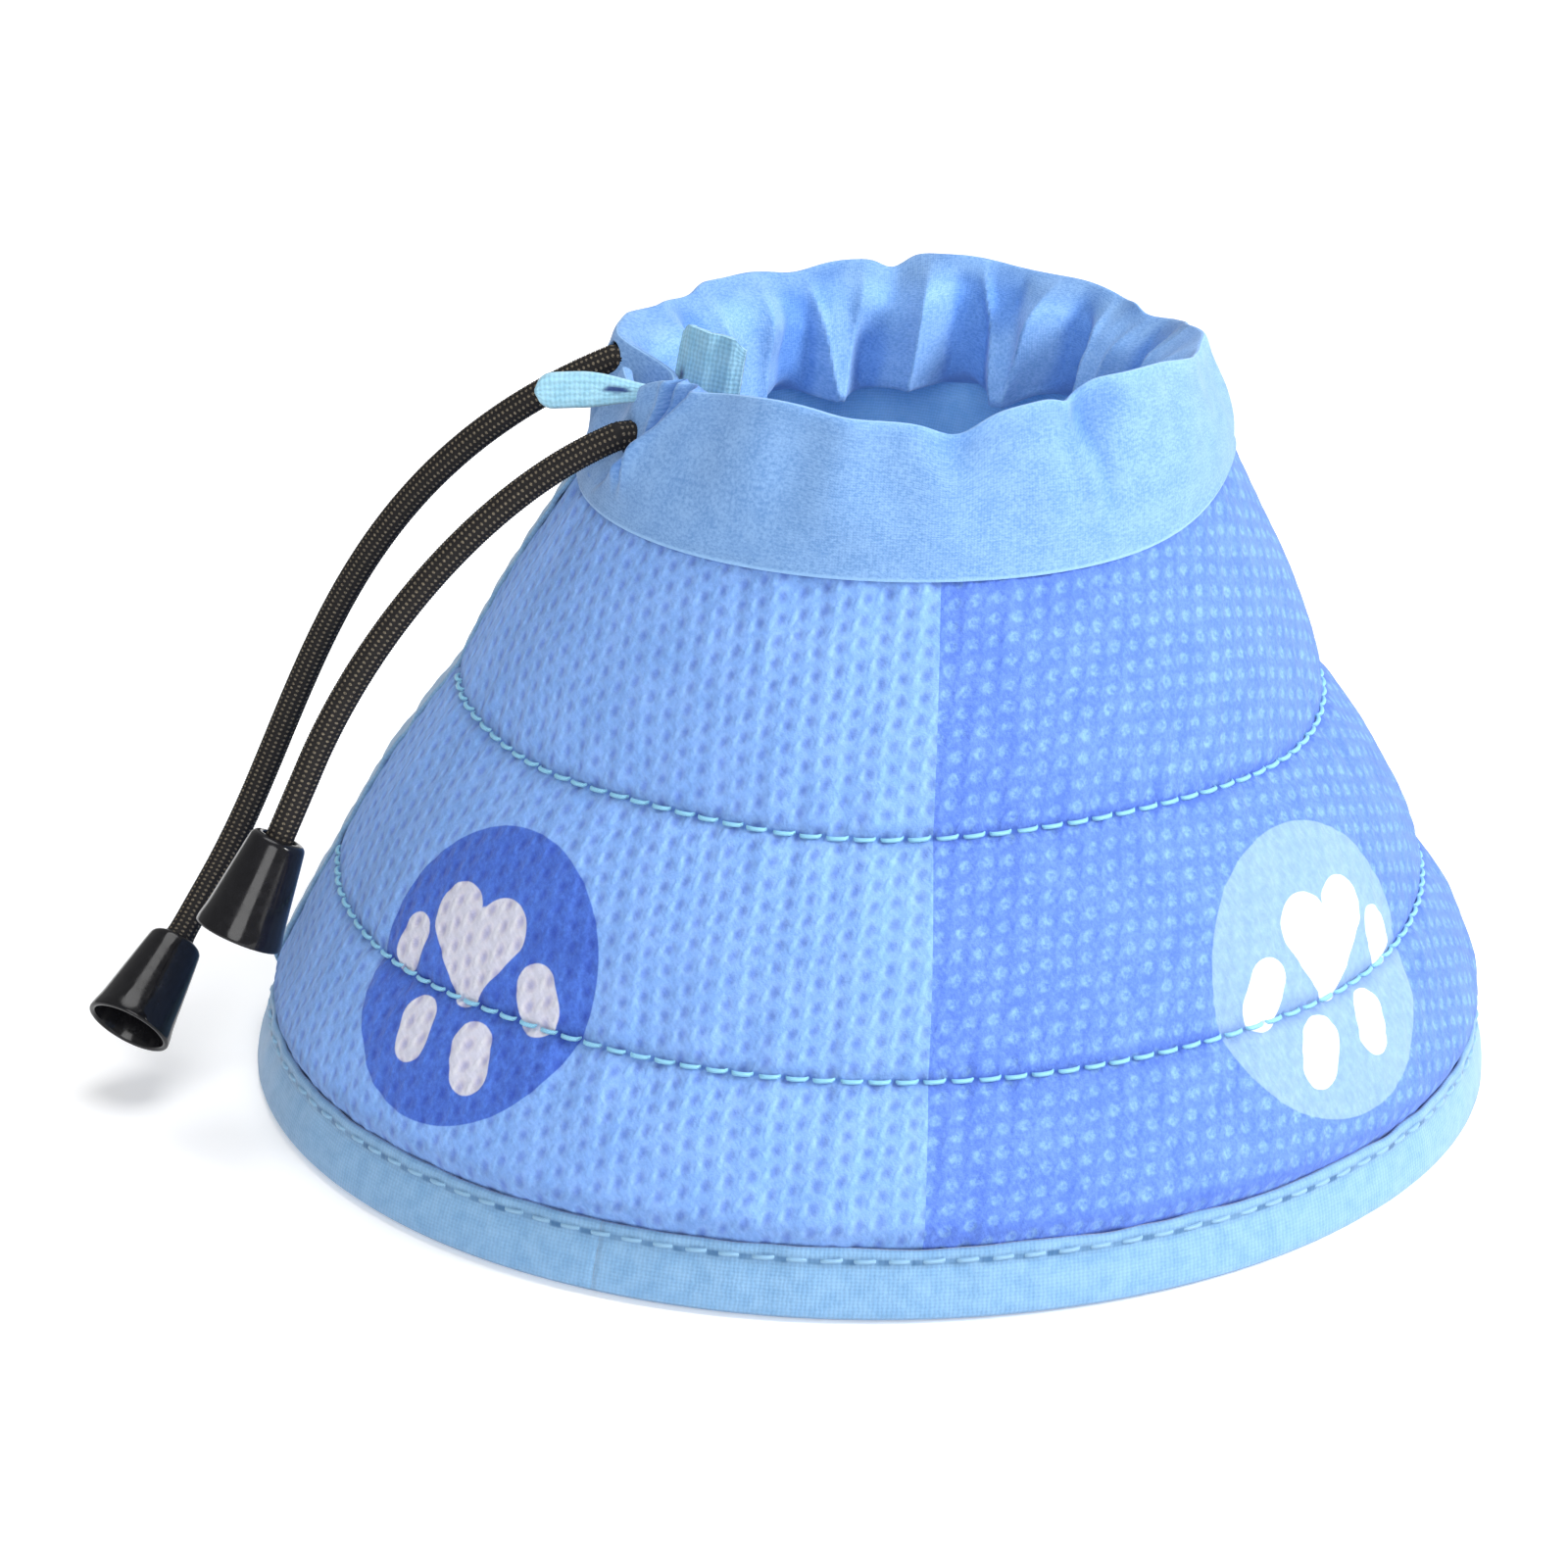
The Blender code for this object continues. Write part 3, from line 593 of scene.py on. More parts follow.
def band_cloth():
    """Smooth plain-woven cloth of the neck band, with a soft melange, painted light on its inside, a painted
    highlight along its edges and painted shade in its folds.
    """
    paint = Paint("band_weave", 0.78, 0.25, 0.15)
    uv = paint.uv()
    cloudy = paint.noise(uv, 3.5, 3.0, 0.55)
    flecks = paint.noise(paint.stretch(uv, (1, 1.4, 1)), 20.0, 3.0, 0.72)
    share = paint.ramp(paint.plus(paint.times(cloudy, 0.35), flecks), 0.48, 0.86)
    base = paint.mix(share, (0.118, 0.262, 0.545), (0.222, 0.395, 0.690))
    reach = paint.node("SeparateXYZ", {0: uv}, 1)
    # Painted light: the band is lighter from its rim down its inside, standing in for light through the thin
    # cloth.
    base = paint.gain(base, paint.ramp(reach, 1.95, 2.5, 0.97, 1.22))
    # Painted highlight: a light line along the band's lower outer edge and along the lip of its rim.
    edge_highlight = paint.plus(paint.ramp(reach, 0.07, 0.03, 0.0, 0.6), paint.attribute("lip"))
    base = paint.mix(edge_highlight, base, (0.30, 0.52, 0.80))
    # Painted shade in the valleys of the folds, creases and dents.
    base = paint.gain(base, (0.50, 0.66, 0.90), paint.attribute("fold"))
    weave = paint.times(paint.wave(uv, 9.0, 0.6), paint.wave(paint.stretch(uv, (0, 1, 0)), 9.0, 0.4, "Y"))
    height = paint.math("MULTIPLY_ADD", flecks, 0.9, weave)
    return paint.surface(base, paint.ramp(flecks, 0.2, 0.8, 0.7, 0.88), height, 0.35, 0.08 * MM)


def thread_material(name, ground, tint):
    paint = Paint(name, 0.42, 0.45, 0.1)
    twist = paint.wave(paint.uv(), 26.0, direction="DIAGONAL")
    base = paint.mix(twist, ground, tint)
    return paint.surface(base, paint.ramp(twist, 0, 1, 0.5, 0.36), twist, 0.5, 0.06 * MM)


def pile_material(name, ground, tint, scale, strength):
    """Hook or loop strip."""
    paint = Paint(name, 0.7, 0.3, 0.2)
    uv = paint.uv()
    fuzz = paint.noise(uv, scale, 4.0, 0.75)
    piled = paint.plus(fuzz, paint.node("TexVoronoi", {"Vector": uv, "Scale": scale * 0.55}, "Distance"))
    base = paint.mix(paint.ramp(piled, 0.4, 1.2), ground, tint)
    return paint.surface(base, paint.ramp(fuzz, 0.2, 0.8, 0.6, 0.85), piled, strength, 0.3 * MM)


CORD_RADIUS = 2.0 * MM
YARNS = 12
YARN_PITCH = 0.72 * MM


def braid_material():
    """Braided cord: near-black yarns with pale flecks."""
    paint = Paint("cord_braid", 0.62, 0.22)
    uv = paint.uv()
    fibre = paint.noise(paint.stretch(uv, (1, 4, 1)), 30.0, 3.0, 0.7)
    steps = (math.pi * CM / YARN_PITCH, YARNS * CM / (2 * CORD_RADIUS))
    sines = []
    for sign in (1, -1):
        turn = paint.vector("DOT_PRODUCT", uv, (sign * steps[0], steps[1], 0), "Value")
        sines.append(paint.math("SINE", turn))
    fleck = paint.ramp(paint.times(*sines), 0.30, 0.72)
    dark = paint.mix(fibre, (0.003, 0.003, 0.004), (0.022, 0.019, 0.018))
    pale = paint.mix(fibre, (0.10, 0.085, 0.06), (0.36, 0.30, 0.21))
    base = paint.mix(paint.times(fleck, paint.ramp(fibre, 0.35, 0.62)), dark, pale)
    return paint.surface(base, paint.ramp(fibre, 0.2, 0.8, 0.5, 0.75), fibre, 0.5, 0.12 * MM)


def bell_material():
    paint = Paint("black_plastic", 0.16, 0.3)
    haze = paint.noise(paint.place(), 700.0, 3.0, 0.6)
    base = paint.mix(haze, (0.004, 0.004, 0.005), (0.011, 0.011, 0.013))
    return paint.surface(base, paint.ramp(haze, 0.3, 0.8, 0.10, 0.24), haze, 0.08, 0.05 * MM)


def wadding_material():
    paint = Paint("fibre_wadding", 0.95, 0.1, 0.3)
    tuft = paint.noise(paint.uv(), 12.0, 5.0, 0.7)
    base = paint.mix(tuft, (0.72, 0.75, 0.78), (0.92, 0.93, 0.94))
    return paint.surface(base, paint.ramp(tuft, 0, 1, 0.88, 1.0), tuft, 0.6, 0.5 * MM)


LIGHT_PRINT = printed_mesh(
    "print_light",
    cloth=((0.160, 0.320, 0.700), (0.220, 0.395, 0.800)),
    badge=((0.042, 0.105, 0.470), (0.070, 0.170, 0.620)),
    paw=(0.54, 0.55, 0.66),
    size=(0.74, 1.08),
    ring_gain=1.06,
    # hole_gain below one darkens each hole: painted shade.
    hole_gain=0.66,
    badge_ring=1.0,
)
DARK_PRINT = printed_mesh(
    "print_dark",
    cloth=((0.078, 0.165, 0.600), (0.128, 0.245, 0.700)),
    badge=((0.198, 0.330, 0.615), (0.235, 0.365, 0.668)),
    paw=(0.80, 0.82, 0.86),
    size=(0.60, 0.70),
    ring_gain=1.46,
    hole_gain=1.14,
    badge_ring=0.15,
)
TAPE_COLOURS = ((0.155, 0.32, 0.54), (0.215, 0.395, 0.62))
LINING = ribbed_cloth("lining_mesh", ((0.20, 0.46, 0.84), (0.26, 0.53, 0.90)), 0.055, 0.06 * MM, 0.10)
# Painted light: the tab of the neck band and the tape's loose end get a lighter copy of the tape's colours,
# as though lit.
LIT_TAB_TAPE = ribbed_cloth("lit_tab_tape", ((0.23, 0.47, 0.62), (0.31, 0.56, 0.70)), 0.085, 0.12 * MM, 0.16, 0.2)
TAPE = ribbed_cloth("ribbed_tape", TAPE_COLOURS, 0.07, 0.10 * MM, 0.12, 0.25)
HEM_TAPE = ribbed_cloth("hem_tape", TAPE_COLOURS, 0.06, 0.08 * MM, 0.10, 0.25, stitched=True)
BAND = band_cloth()
THREAD = thread_material("sewing_thread", (0.14, 0.40, 0.62), (0.31, 0.64, 0.82))
HEM_THREAD = thread_material("hem_sewing_thread", (0.17, 0.35, 0.55), (0.27, 0.47, 0.66))
HOOK = pile_material("hook_pile", (0.14, 0.36, 0.75), (0.26, 0.52, 0.88), 30.0, 0.7)
LOOP = pile_material("loop_pile", (0.18, 0.42, 0.80), (0.38, 0.64, 0.93), 22.0, 0.9)
BRAID = braid_material()
BELL = bell_material()
WADDING = wadding_material()


def dress(obj, *materials):
    for material in materials:
        obj.data.materials.append(material)
    return obj


# ---- placing the pieces, and hiding the CAD nodes they stand for


def bend(obj, stretch, slot, *nodes):
    """Bakes the piece's placement into its points and hides these CAD nodes, which it stands for."""
    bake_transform(obj)
    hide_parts(*nodes)


def fixed(obj, body, slot, *nodes):
    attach(obj, body)
    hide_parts(*nodes)


# ---- printed cloth


def capsule(x, y, a, b, wide, narrow):
    """Signed distance from a tapering capsule."""
    run = np.array(b) - np.array(a)
    share = np.clip(((x - a[0]) * run[0] + (y - a[1]) * run[1]) / (run @ run), 0, 1)
    near = np.hypot(x - a[0] - share * run[0], y - a[1] - share * run[1])
    return near - (wide + share * (narrow - wide))


# Paw print with its toes down, in a badge's own axes: four toes, then the two lobes of the pad. Each has two
# ends and the two radii, in millimetres.
PAW = (
    ((-13.8, 2.0), (-14.2, -1.0), 2.7, 2.8),
    ((-6.1, -8.0), (-5.1, -11.4), 3.0, 2.9),
    ((5.0, -8.4), (6.9, -11.8), 3.2, 3.1),
    ((11.1, 1.9), (13.3, -0.9), 3.2, 3.3),
    ((-6.3, 6.5), (0, -2.1), 4.6, 2.4),
    ((2.2, 6.7), (0, -2.1), 4.6, 2.4),
)
FAR_MM = 50.0


def print_fields(azimuth, slant):
    """Millimetres from the edges of the nearest badge and paw and from a seam, and the needle holes."""
    here = flat(azimuth, slant) * 10
    badge = paw = FAR_MM + 0 * here[..., 0]
    for index, centre in enumerate(BADGES):
        middle = flat(np.array(centre), np.array(BADGE_SLANT)) * 10
        phi = math.radians(centre * SIN_CONE)
        across = (here - middle) @ np.array([math.cos(phi), math.sin(phi)])
        up = (here - middle) @ np.array([-math.sin(phi), math.cos(phi)])
        badge = np.minimum(badge, np.hypot(across, up) - BADGE_RADIUS_MM)
        mirrored = across * (-1) ** index
        paw = np.minimum.reduce([paw] + [capsule(mirrored, up, *part) for part in PAW])
    seam = np.minimum.reduce([np.abs(slant - seam_slant(row, azimuth)) for row in range(4)]) / MM
    # Shares of the needle holes of the quilting rows, which the cloth's shader darkens as painted shade.
    pierced = 0 * seam
    for row in (1, 2):
        along = np.radians(azimuth) * SEWN[row, 0] / QUILT_PITCH
        off = np.hypot((along - np.round(along)) * QUILT_PITCH, slant - seam_slant(row, azimuth)) / MM
        pierced = np.maximum(pierced, hump(off, 0.55))
    return {"badge": badge, "paw": paw, "seam": seam, "pierced": pierced}


def cloth_piece(name, start, end, material, low=-3.0 * MM, high=1.6 * MM):
    count = int(round((NECK + high - low) / GRID))
    share, azimuth = wall_grid(start, end, GRID, np.linspace(0, 1, count + 1))
    slant = low + share * (seam_slant(3, azimuth) + high - low)
    front = outer_wall(slant, azimuth)
    normals = surface_normals(front)
    front, slant, azimuth = core(front, slant, azimuth)
    back = outer_wall(slant, azimuth, detail=False, sink=CLOTH + 0.2 * MM)
    made = shell(name, front, back, flat(azimuth, slant), normals, print_fields(azimuth, slant))
    return dress(made, material)


for name, start, end, material, stretch, node in (
    ("cloth_light_left", FLAP_EDGE + 0.4, LEFT_SPLIT, LIGHT_PRINT, "left", "outer_cloth_flap"),
    ("cloth_light_front", LEFT_SPLIT, PRINT_BORDERS[0], LIGHT_PRINT, "front", "outer_cloth_front"),
    ("cloth_dark_right", PRINT_BORDERS[0], PRINT_BORDERS[1], DARK_PRINT, "front", "outer_cloth_main"),
    ("cloth_light_rear", PRINT_BORDERS[1], PRINT_BORDERS[2], LIGHT_PRINT, "rear", "outer_cloth_main"),
    ("cloth_dark_rear", PRINT_BORDERS[2], REAR_END, DARK_PRINT, "rear", "outer_cloth_back"),
):
    bend(cloth_piece(name, start, end, material), stretch, "printed_mesh", node)


# ---- lining and wadding


def lining_piece(stretch, *nodes):
    slant, azimuth = wall_grid(*STRETCHES[stretch], 1.6 * MM, np.linspace(-3 * MM, NECK, 64))
    inside = inner_wall(slant, azimuth)
    normals = -surface_normals(inside)
    inside, slant, azimuth = core(inside, slant, azimuth)
    cover = inner_wall(slant, azimuth, lift=0.5 * MM)
    grids = [grid[:, ::-1] for grid in (inside, cover, flat(azimuth, slant), normals)]
    bend(dress(shell(f"lining_{stretch}", *grids), LINING), stretch, "lining_mesh", *nodes)


def wadding_piece(stretch, *nodes):
    start, end = STRETCHES[stretch]
    slants = np.linspace(1.0 * MM, NECK - 0.8 * MM, 48)
    slant, azimuth = core(*wall_grid(start + 0.5, end - 0.5, 3 * MM, slants))
    front = outer_wall(slant, azimuth, detail=False, sink=CLOTH + 0.5 * MM)
    back = inner_wall(slant, azimuth, lift=0.8 * MM)
    made = shell(f"wadding_{stretch}", front, back, flat(azimuth, slant))
    bend(dress(made, WADDING), stretch, "wadding", *nodes)


ROWS = ("lower", "middle", "upper")
lining_piece("left", "lining_flap")
lining_piece("front", "lining_front")
lining_piece("rear", "lining_main", "lining_back")
wadding_piece("left", "wadding_flap")
wadding_piece("front", *[f"wadding_{row}_{part}" for part in ("front", "main") for row in ROWS])
wadding_piece("rear", *[f"wadding_{row}_back" for row in ROWS])


# ---- hem tape

WALL_DEPTH = PINCHED + 1.1 * MM
FLAP_DEPTH = 5.4 * MM
TAPE_THICK = 0.75 * MM
TAPE_LEVELS = np.array([0.9, 2.2, 4.0, 5.8, 7.0, 7.6, 8.4, 9.2]) / 9.7
TAPE_BELLY = np.array([0.10, 0.24, 0.28, 0.12, -0.10, -0.16, 0.0, 0.12]) * MM


def tape_radius(height):
    return np.interp(height, TAPE_LINE[:, 1], TAPE_LINE[:, 0])


def hem_section(azimuth, near, far, filled):
    """Closed section of the folded tape: (radius, height) points. At a free end its legs meet."""
    top = TAPE_TOP + 0.15 * MM * waver(azimuth, 21, 90)
    inner_top = TAPE_TOP + 0.3 * MM * waver(azimuth, 26, 91)
    pull = 0.14 * MM * waver(azimuth, 7.5, 92)
    face, roof, sole = (tape_radius(z) for z in (TAPE_LEVELS * TAPE_TOP, TAPE_TOP, 0))
    up = np.stack([face - near + TAPE_BELLY + pull * TAPE_LEVELS, TAPE_LEVELS * top], -1)
    lip = [(roof - near - drop * MM + pull, top) for drop in (0.1, 0.6)]
    turn = [(sole - near - TAPE_THICK - 0.2 * MM, 0), (sole - far + TAPE_THICK + 0.2 * MM, 0)]
    down = np.concatenate([up[::-1] - [TAPE_THICK, 0], turn])
    rise = np.stack([face - far + TAPE_THICK, TAPE_LEVELS * inner_top], -1)
    if filled:
        middle = tape_radius(TAPE_TOP / 2) - (near + far) / 2
        down[:, 0], rise[:, 0] = middle + 0.05 * MM, middle - 0.05 * MM
    down[:, 1], rise[:, 1] = np.maximum(down[:, 1], TAPE_THICK), np.maximum(rise[:, 1], TAPE_THICK)
    back_lip = [(roof - far + TAPE_THICK - 0.1 * MM, inner_top), (roof - far + 0.1 * MM, inner_top)]
    fall = rise[::-1] - [TAPE_THICK, 0]
    foot = [(sole - far + 0.35 * MM, 0.25 * MM), (sole - far + 1.0 * MM, 0)]
    toe = [(sole - near - 1.0 * MM, 0), (sole - near - 0.3 * MM, 0.25 * MM)]
    return np.concatenate([up, lip, down, rise, back_lip, fall, foot, toe])


def hem_piece(name, start, end, near, far, free_start, free_end):
    step = 1.1 * MM
    stops = list(np.linspace(start, end, int(math.radians(end - start) * HEM_RADIUS / step) + 1))
    if free_start:
        stops[:1] = [start, start + 0.35]
    if free_end:
        stops[-1:] = [end - 0.35, end]
    rings, uvs = [], []
    for index, azimuth in enumerate(stops):
        filled = (free_start and index == 0) or (free_end and index == len(stops) - 1)
        section = hem_section(azimuth, near, far, filled)
        rings.append(place(section[:, 0], section[:, 1], azimuth))
        reach = run_along(section) / CM
        uvs.append(np.stack([0 * reach + math.radians(azimuth) * HEM_RADIUS / CM, reach], -1))
    return dress(tube(name, np.array(rings)[:, ::-1], np.array(uvs)[:, ::-1]), HEM_TAPE)


for stretch, start, end, depth, free, tags in (
    ("left", FLAP_EDGE + 0.3, LEFT_SPLIT, FLAP_DEPTH, (True, False), ("flap",)),
    ("front", LEFT_SPLIT, RIGHT_SPLIT, WALL_DEPTH, (False, False), ("front",)),
    ("rear", RIGHT_SPLIT, REAR_END, WALL_DEPTH, (False, True), ("main", "back")),
):
    made = hem_piece(f"hem_tape_{stretch}", start, end, 0, depth, *free)
    bend(made, stretch, "binding_tape", *[f"hem_binding_{tag}" for tag in tags])
under = hem_piece(
    "hem_tape_underlap", REAR_END - 1.5, UNDERLAP_END, UNDERLAP_NEAR, UNDERLAP_FAR + 2.0 * MM, True, True
)
fixed(under, "back_wall", "binding_tape", "hem_binding_underlap")


# ---- stitches

STITCH_THICK = 0.31 * MM
STITCH_SHARES = np.array([-0.53, -0.49, -0.40, -0.18, 0.10, 0.36, 0.47, 0.53])
STITCH_LIFT = np.array([-0.75, -0.25, 0.16, 0.34, 0.36, 0.22, -0.25, -0.75]) * MM
STITCH_GIRTH = np.array([0.7, 0.85, 1.0, 1.05, 1.05, 1.0, 0.85, 0.7]) * STITCH_THICK


def stitch_row(name, centre_of, start, end, radius, pitch, length, thread, seed):
    """Lockstitches: short bridges of thread that dive into the cloth at both ends."""
    rng = np.random.default_rng(seed)
    first, last = (math.ceil(math.radians(a) * radius / pitch - 0.5) for a in (start, end))
    rings, uvs = [], []
    for index in range(first, last):
        middle = (index + 0.5) * pitch / radius + rng.normal(0, 0.015) * pitch / radius
        tilt = rng.normal(0.12, 0.05) * MM
        turns = middle + STITCH_SHARES * length / radius
        azimuths = np.degrees(turns)
        base = centre_of(azimuths)
        outward = place(1, 0, azimuths)
        upward = unit(np.cross(centre_of(azimuths + 0.2) - base, outward))
        upward = upward * np.sign(upward[:, 2:3])
        line = base + outward * STITCH_LIFT[:, None] + upward * (tilt * np.linspace(-1, 1, 8))[:, None]
        rings.append(hoops(line, outward, upward, STITCH_GIRTH[:, None], 8).reshape(-1, 3))
        uvs.append(np.stack([np.repeat(turns * radius, 8), np.tile(circle(8) * STITCH_THICK, 8)], -1) / CM)
    quads, caps = ring_faces(8, 8)
    offsets = np.arange(len(rings))[:, None, None] * 64
    quads = (quads[:-8, ::-1] + offsets).reshape(-1, 4)
    caps = (caps[:, ::-1] + offsets).reshape(-1, 8)
    return dress(finish_mesh(name, np.concatenate(rings), quads, np.concatenate(uvs), caps=caps), thread)


def quilt_centre(index):
    return lambda azimuth: outer_wall(seam_slant(index, azimuth), azimuth, detail=False, sink=-0.16 * MM)


def hem_centre(azimuth):
    height = HEM_STITCH_HEIGHT + 0.7 * MM + 0 * azimuth
    return place(tape_radius(height) - 0.30 * MM, height, azimuth)


STITCH_ROWS = (
    ("quilt_thread_lower", quilt_centre(1), SEWN[1, 0], QUILT_PITCH, 3.05 * MM, THREAD, 5),
    ("quilt_thread_upper", quilt_centre(2), SEWN[2, 0], QUILT_PITCH, 3.05 * MM, THREAD, 6),
    ("hem_thread", hem_centre, HEM_RADIUS, HEM_PITCH_CM * CM, 3.3 * MM, HEM_THREAD, 7),
)
STITCH_PARTS = (
    ("left", FLAP_EDGE + 8.5, LEFT_SPLIT, ("flap",)),
    ("front", LEFT_SPLIT, RIGHT_SPLIT, ("front", "main")),
    ("rear", RIGHT_SPLIT, REAR_END, ("back",)),
)
for title, centre, *measures in STITCH_ROWS:
    for stretch, start, end, tags in STITCH_PARTS:
        made = stitch_row(f"{title}_{stretch}", centre, start, end, *measures)
        bend(made, stretch, "thread", *[f"{title}_{tag}" for tag in tags])


# ---- neck band

# Section of the folded band: (radius, height) of its stations, from the outer foot over the rim to the inner
# edge and the lining.
BAND_SECTION = np.array(
    [(46.7, 86.8), (46.2, 91.0), (45.1, 95.6), (43.5, 100.0), (41.9, 103.9), (41.2, 105.9), (40.6, 106.6)]
    + [(39.8, 106.1), (37.7, 103.6), (36.2, 100.0), (35.8, 95.8), (36.0, 92.0), (37.4, 90.0)]
    + [(40.4, 88.3), (43.6, 86.6)]
)
RIM_STATION = 6
EDGE_STATION = 11
LAST_STATION = len(BAND_SECTION) - 1
CORD_SEAT = (39.6 * MM, 101.5 * MM)
BAND_CLOSING = 7  # degrees over which the fold closes at its free ends

# Rise and fall of the rim: azimuth, width in degrees and height in millimetres.
RIM_WAVES = (
    ((40, 24, 4.4), (27, 3.5, -1.3), (-31, 12, 1.6), (-81, 14, -5.4), (122, 18, -3.2), (256, 10, -0.5))
    + ((5, 5.5, -2.2), (151, 12, -0.8), (184.5, 3.5, -1.6), (171, 9, 0.8), (128, 3, 0.7))
    + ((206, 6, -0.9), (236, 6, -0.7))
)
# Gathers inside the neck: azimuth at the rim, azimuth at the edge, reach in millimetres and width in degrees.
INNER_PLEATS = (
    ((-58, -52, 1.4, 8), (-24, -28, 1.2, 9), (14, 20, 1.4, 9), (52, 46, 1.6, 8), (84, 90, 2.0, 7))
    + ((104, 99, 2.2, 6), (122, 128, 2.6, 4.5), (134, 131, 2.4, 3.5), (147, 154, 3.2, 5.5))
    + ((166, 158, 2.2, 3.5), (176, 180, 3.4, 6), (190, 197, 2.6, 5), (205, 199, 2.2, 4))
    + ((216, 221, 3.0, 6), (233, 229, 2.4, 5), (248, 252, 2.4, 6))
)
# Creases outside it, the same way, with a valley on one side.
OUTER_PLEATS = (
    ((-50, -73, 1.0, 2.6, -1), (-57, -62, 1.3, 1.5, -1), (-62, -65, 1.1, 1.2, 1), (25, 33, 0.9, 2.0, 1))
    + ((118, 121, 0.7, 4, 1), (180, 183, 0.9, 4, -1), (228, 224, 0.9, 4, 1), (252, 249, 1.0, 3, -1))
)
FLAP_RIDGE = (-73, -49)  # crease down the flap's end: azimuth at the foot and at the rim
# Dents of the outside: azimuth, level, width in degrees, height share and depth in millimetres.
DENTS = ((30, 0.86, 6, 0.16, 1.7), (4, 0.97, 5, 0.12, 0.8), (150, 0.8, 8, 0.2, 0.9), (210, 0.8, 8, 0.2, 0.9))


def rim_rise(azimuth):
    humps = sum(height * MM * hump(angle_gap(azimuth, centre), width) for centre, width, height in RIM_WAVES)
    return 0.2 * MM * waver(azimuth, 30, 21) + humps


def past_ridge(azimuth, ridge):
    """How much of the flap's end is folded in beyond its ridge."""
    beyond = -angle_gap(azimuth, ridge)
    return beyond, 1 - smooth(beyond, 9, 22)


def squeeze(azimuth):
    """How far the channel is pushed inwards where the outside is creased."""
    beyond, folded = past_ridge(azimuth, FLAP_RIDGE[1] - 5)
    return 2.6 * MM * smooth(beyond, -8, 0) * folded + 1.7 * MM * hump(angle_gap(azimuth, DENTS[0][0]), 8)


def along_section(station):
    """Smooth curve through the stations of the band's section."""
    index = np.clip(np.floor(station).astype(int), 0, LAST_STATION - 1)
    t = (station - index)[..., None]
    ends = 2 * BAND_SECTION[[0, -1]] - BAND_SECTION[[1, -2]]
    padded = np.concatenate([ends[:1], BAND_SECTION, ends[1:]])
    a, b, c, d = (padded[index + k] for k in range(4))
    point = 0.5 * (2 * b + (c - a) * t + (2 * a - 5 * b + 4 * c - d) * t**2 + (3 * b - a - 3 * c + d) * t**3)
    return point[..., 0] * MM, point[..., 1] * MM


def outer_folds(share, azimuth):
    """Creases, ridge and dents of the band's outside: how far out it is, and how deep in a valley, which sets
    the painted shade there.
    """
    out = 0.35 * MM * waver(azimuth, 24, 22) * smooth(share, 0.05, 0.6)
    out = out + 0.16 * MM * ripples(azimuth, share * 20, 12, 23) * smooth(share, 0.05, 0.5)
    valley = 0 * azimuth
    grown = smooth(share, 0.12, 0.55)
    for rim_at, foot_at, size, width, side in OUTER_PLEATS:
        gap = angle_gap(azimuth, foot_at + (rim_at - foot_at) * share) / width
        dip = 0.75 * hump(gap - 1.6 * side, 1) * grown
        out = out + size * MM * (np.exp(-np.abs(gap) ** 1.3) * grown - dip)
        valley = valley + 0.5 * size * dip
    beyond, folded = past_ridge(azimuth, FLAP_RIDGE[0] + (FLAP_RIDGE[1] - FLAP_RIDGE[0]) * share)
    out = out - 2.0 * MM * smooth(beyond, 0.3, 3.2) * folded * smooth(share, 0.02, 0.3)
    valley = valley + 0.7 * hump(beyond - 3.0, 2.2) * smooth(share, 0.05, 0.3)
    for at, level, wide, tall, depth in DENTS:
        dent = hump(angle_gap(azimuth, at), wide) * hump(share - level, tall)
        out = out - depth * MM * dent
        valley = valley + 0.45 * dent
    return out, valley


def inner_folds(down, azimuth):
    """Gathers of the band's inside: how far in it comes, and how far each lobe of its edge hangs."""
    into = 0.9 * MM + squeeze(azimuth) + 0.5 * MM * waver(azimuth, 34, 24)
    into = into + 0.3 * MM * ripples(azimuth, down * 40, 17, 25)
    lobes = 0 * azimuth
    for rim_at, edge_at, size, width in INNER_PLEATS:
        gap = angle_gap(azimuth, rim_at + (edge_at - rim_at) * down**1.4) / width
        crest = 0.85 * np.exp(-1.9 * np.abs(gap)) + 0.55 * hump(gap, 1.4)
        into = into + size * MM * (crest - 0.55 * hump(np.abs(gap) - 2.0, 1))
        lobes = lobes + 0.8 * size * MM * np.exp(-((gap / 2.0) ** 4))
    return np.maximum(into, squeeze(azimuth) - 0.7 * MM), lobes


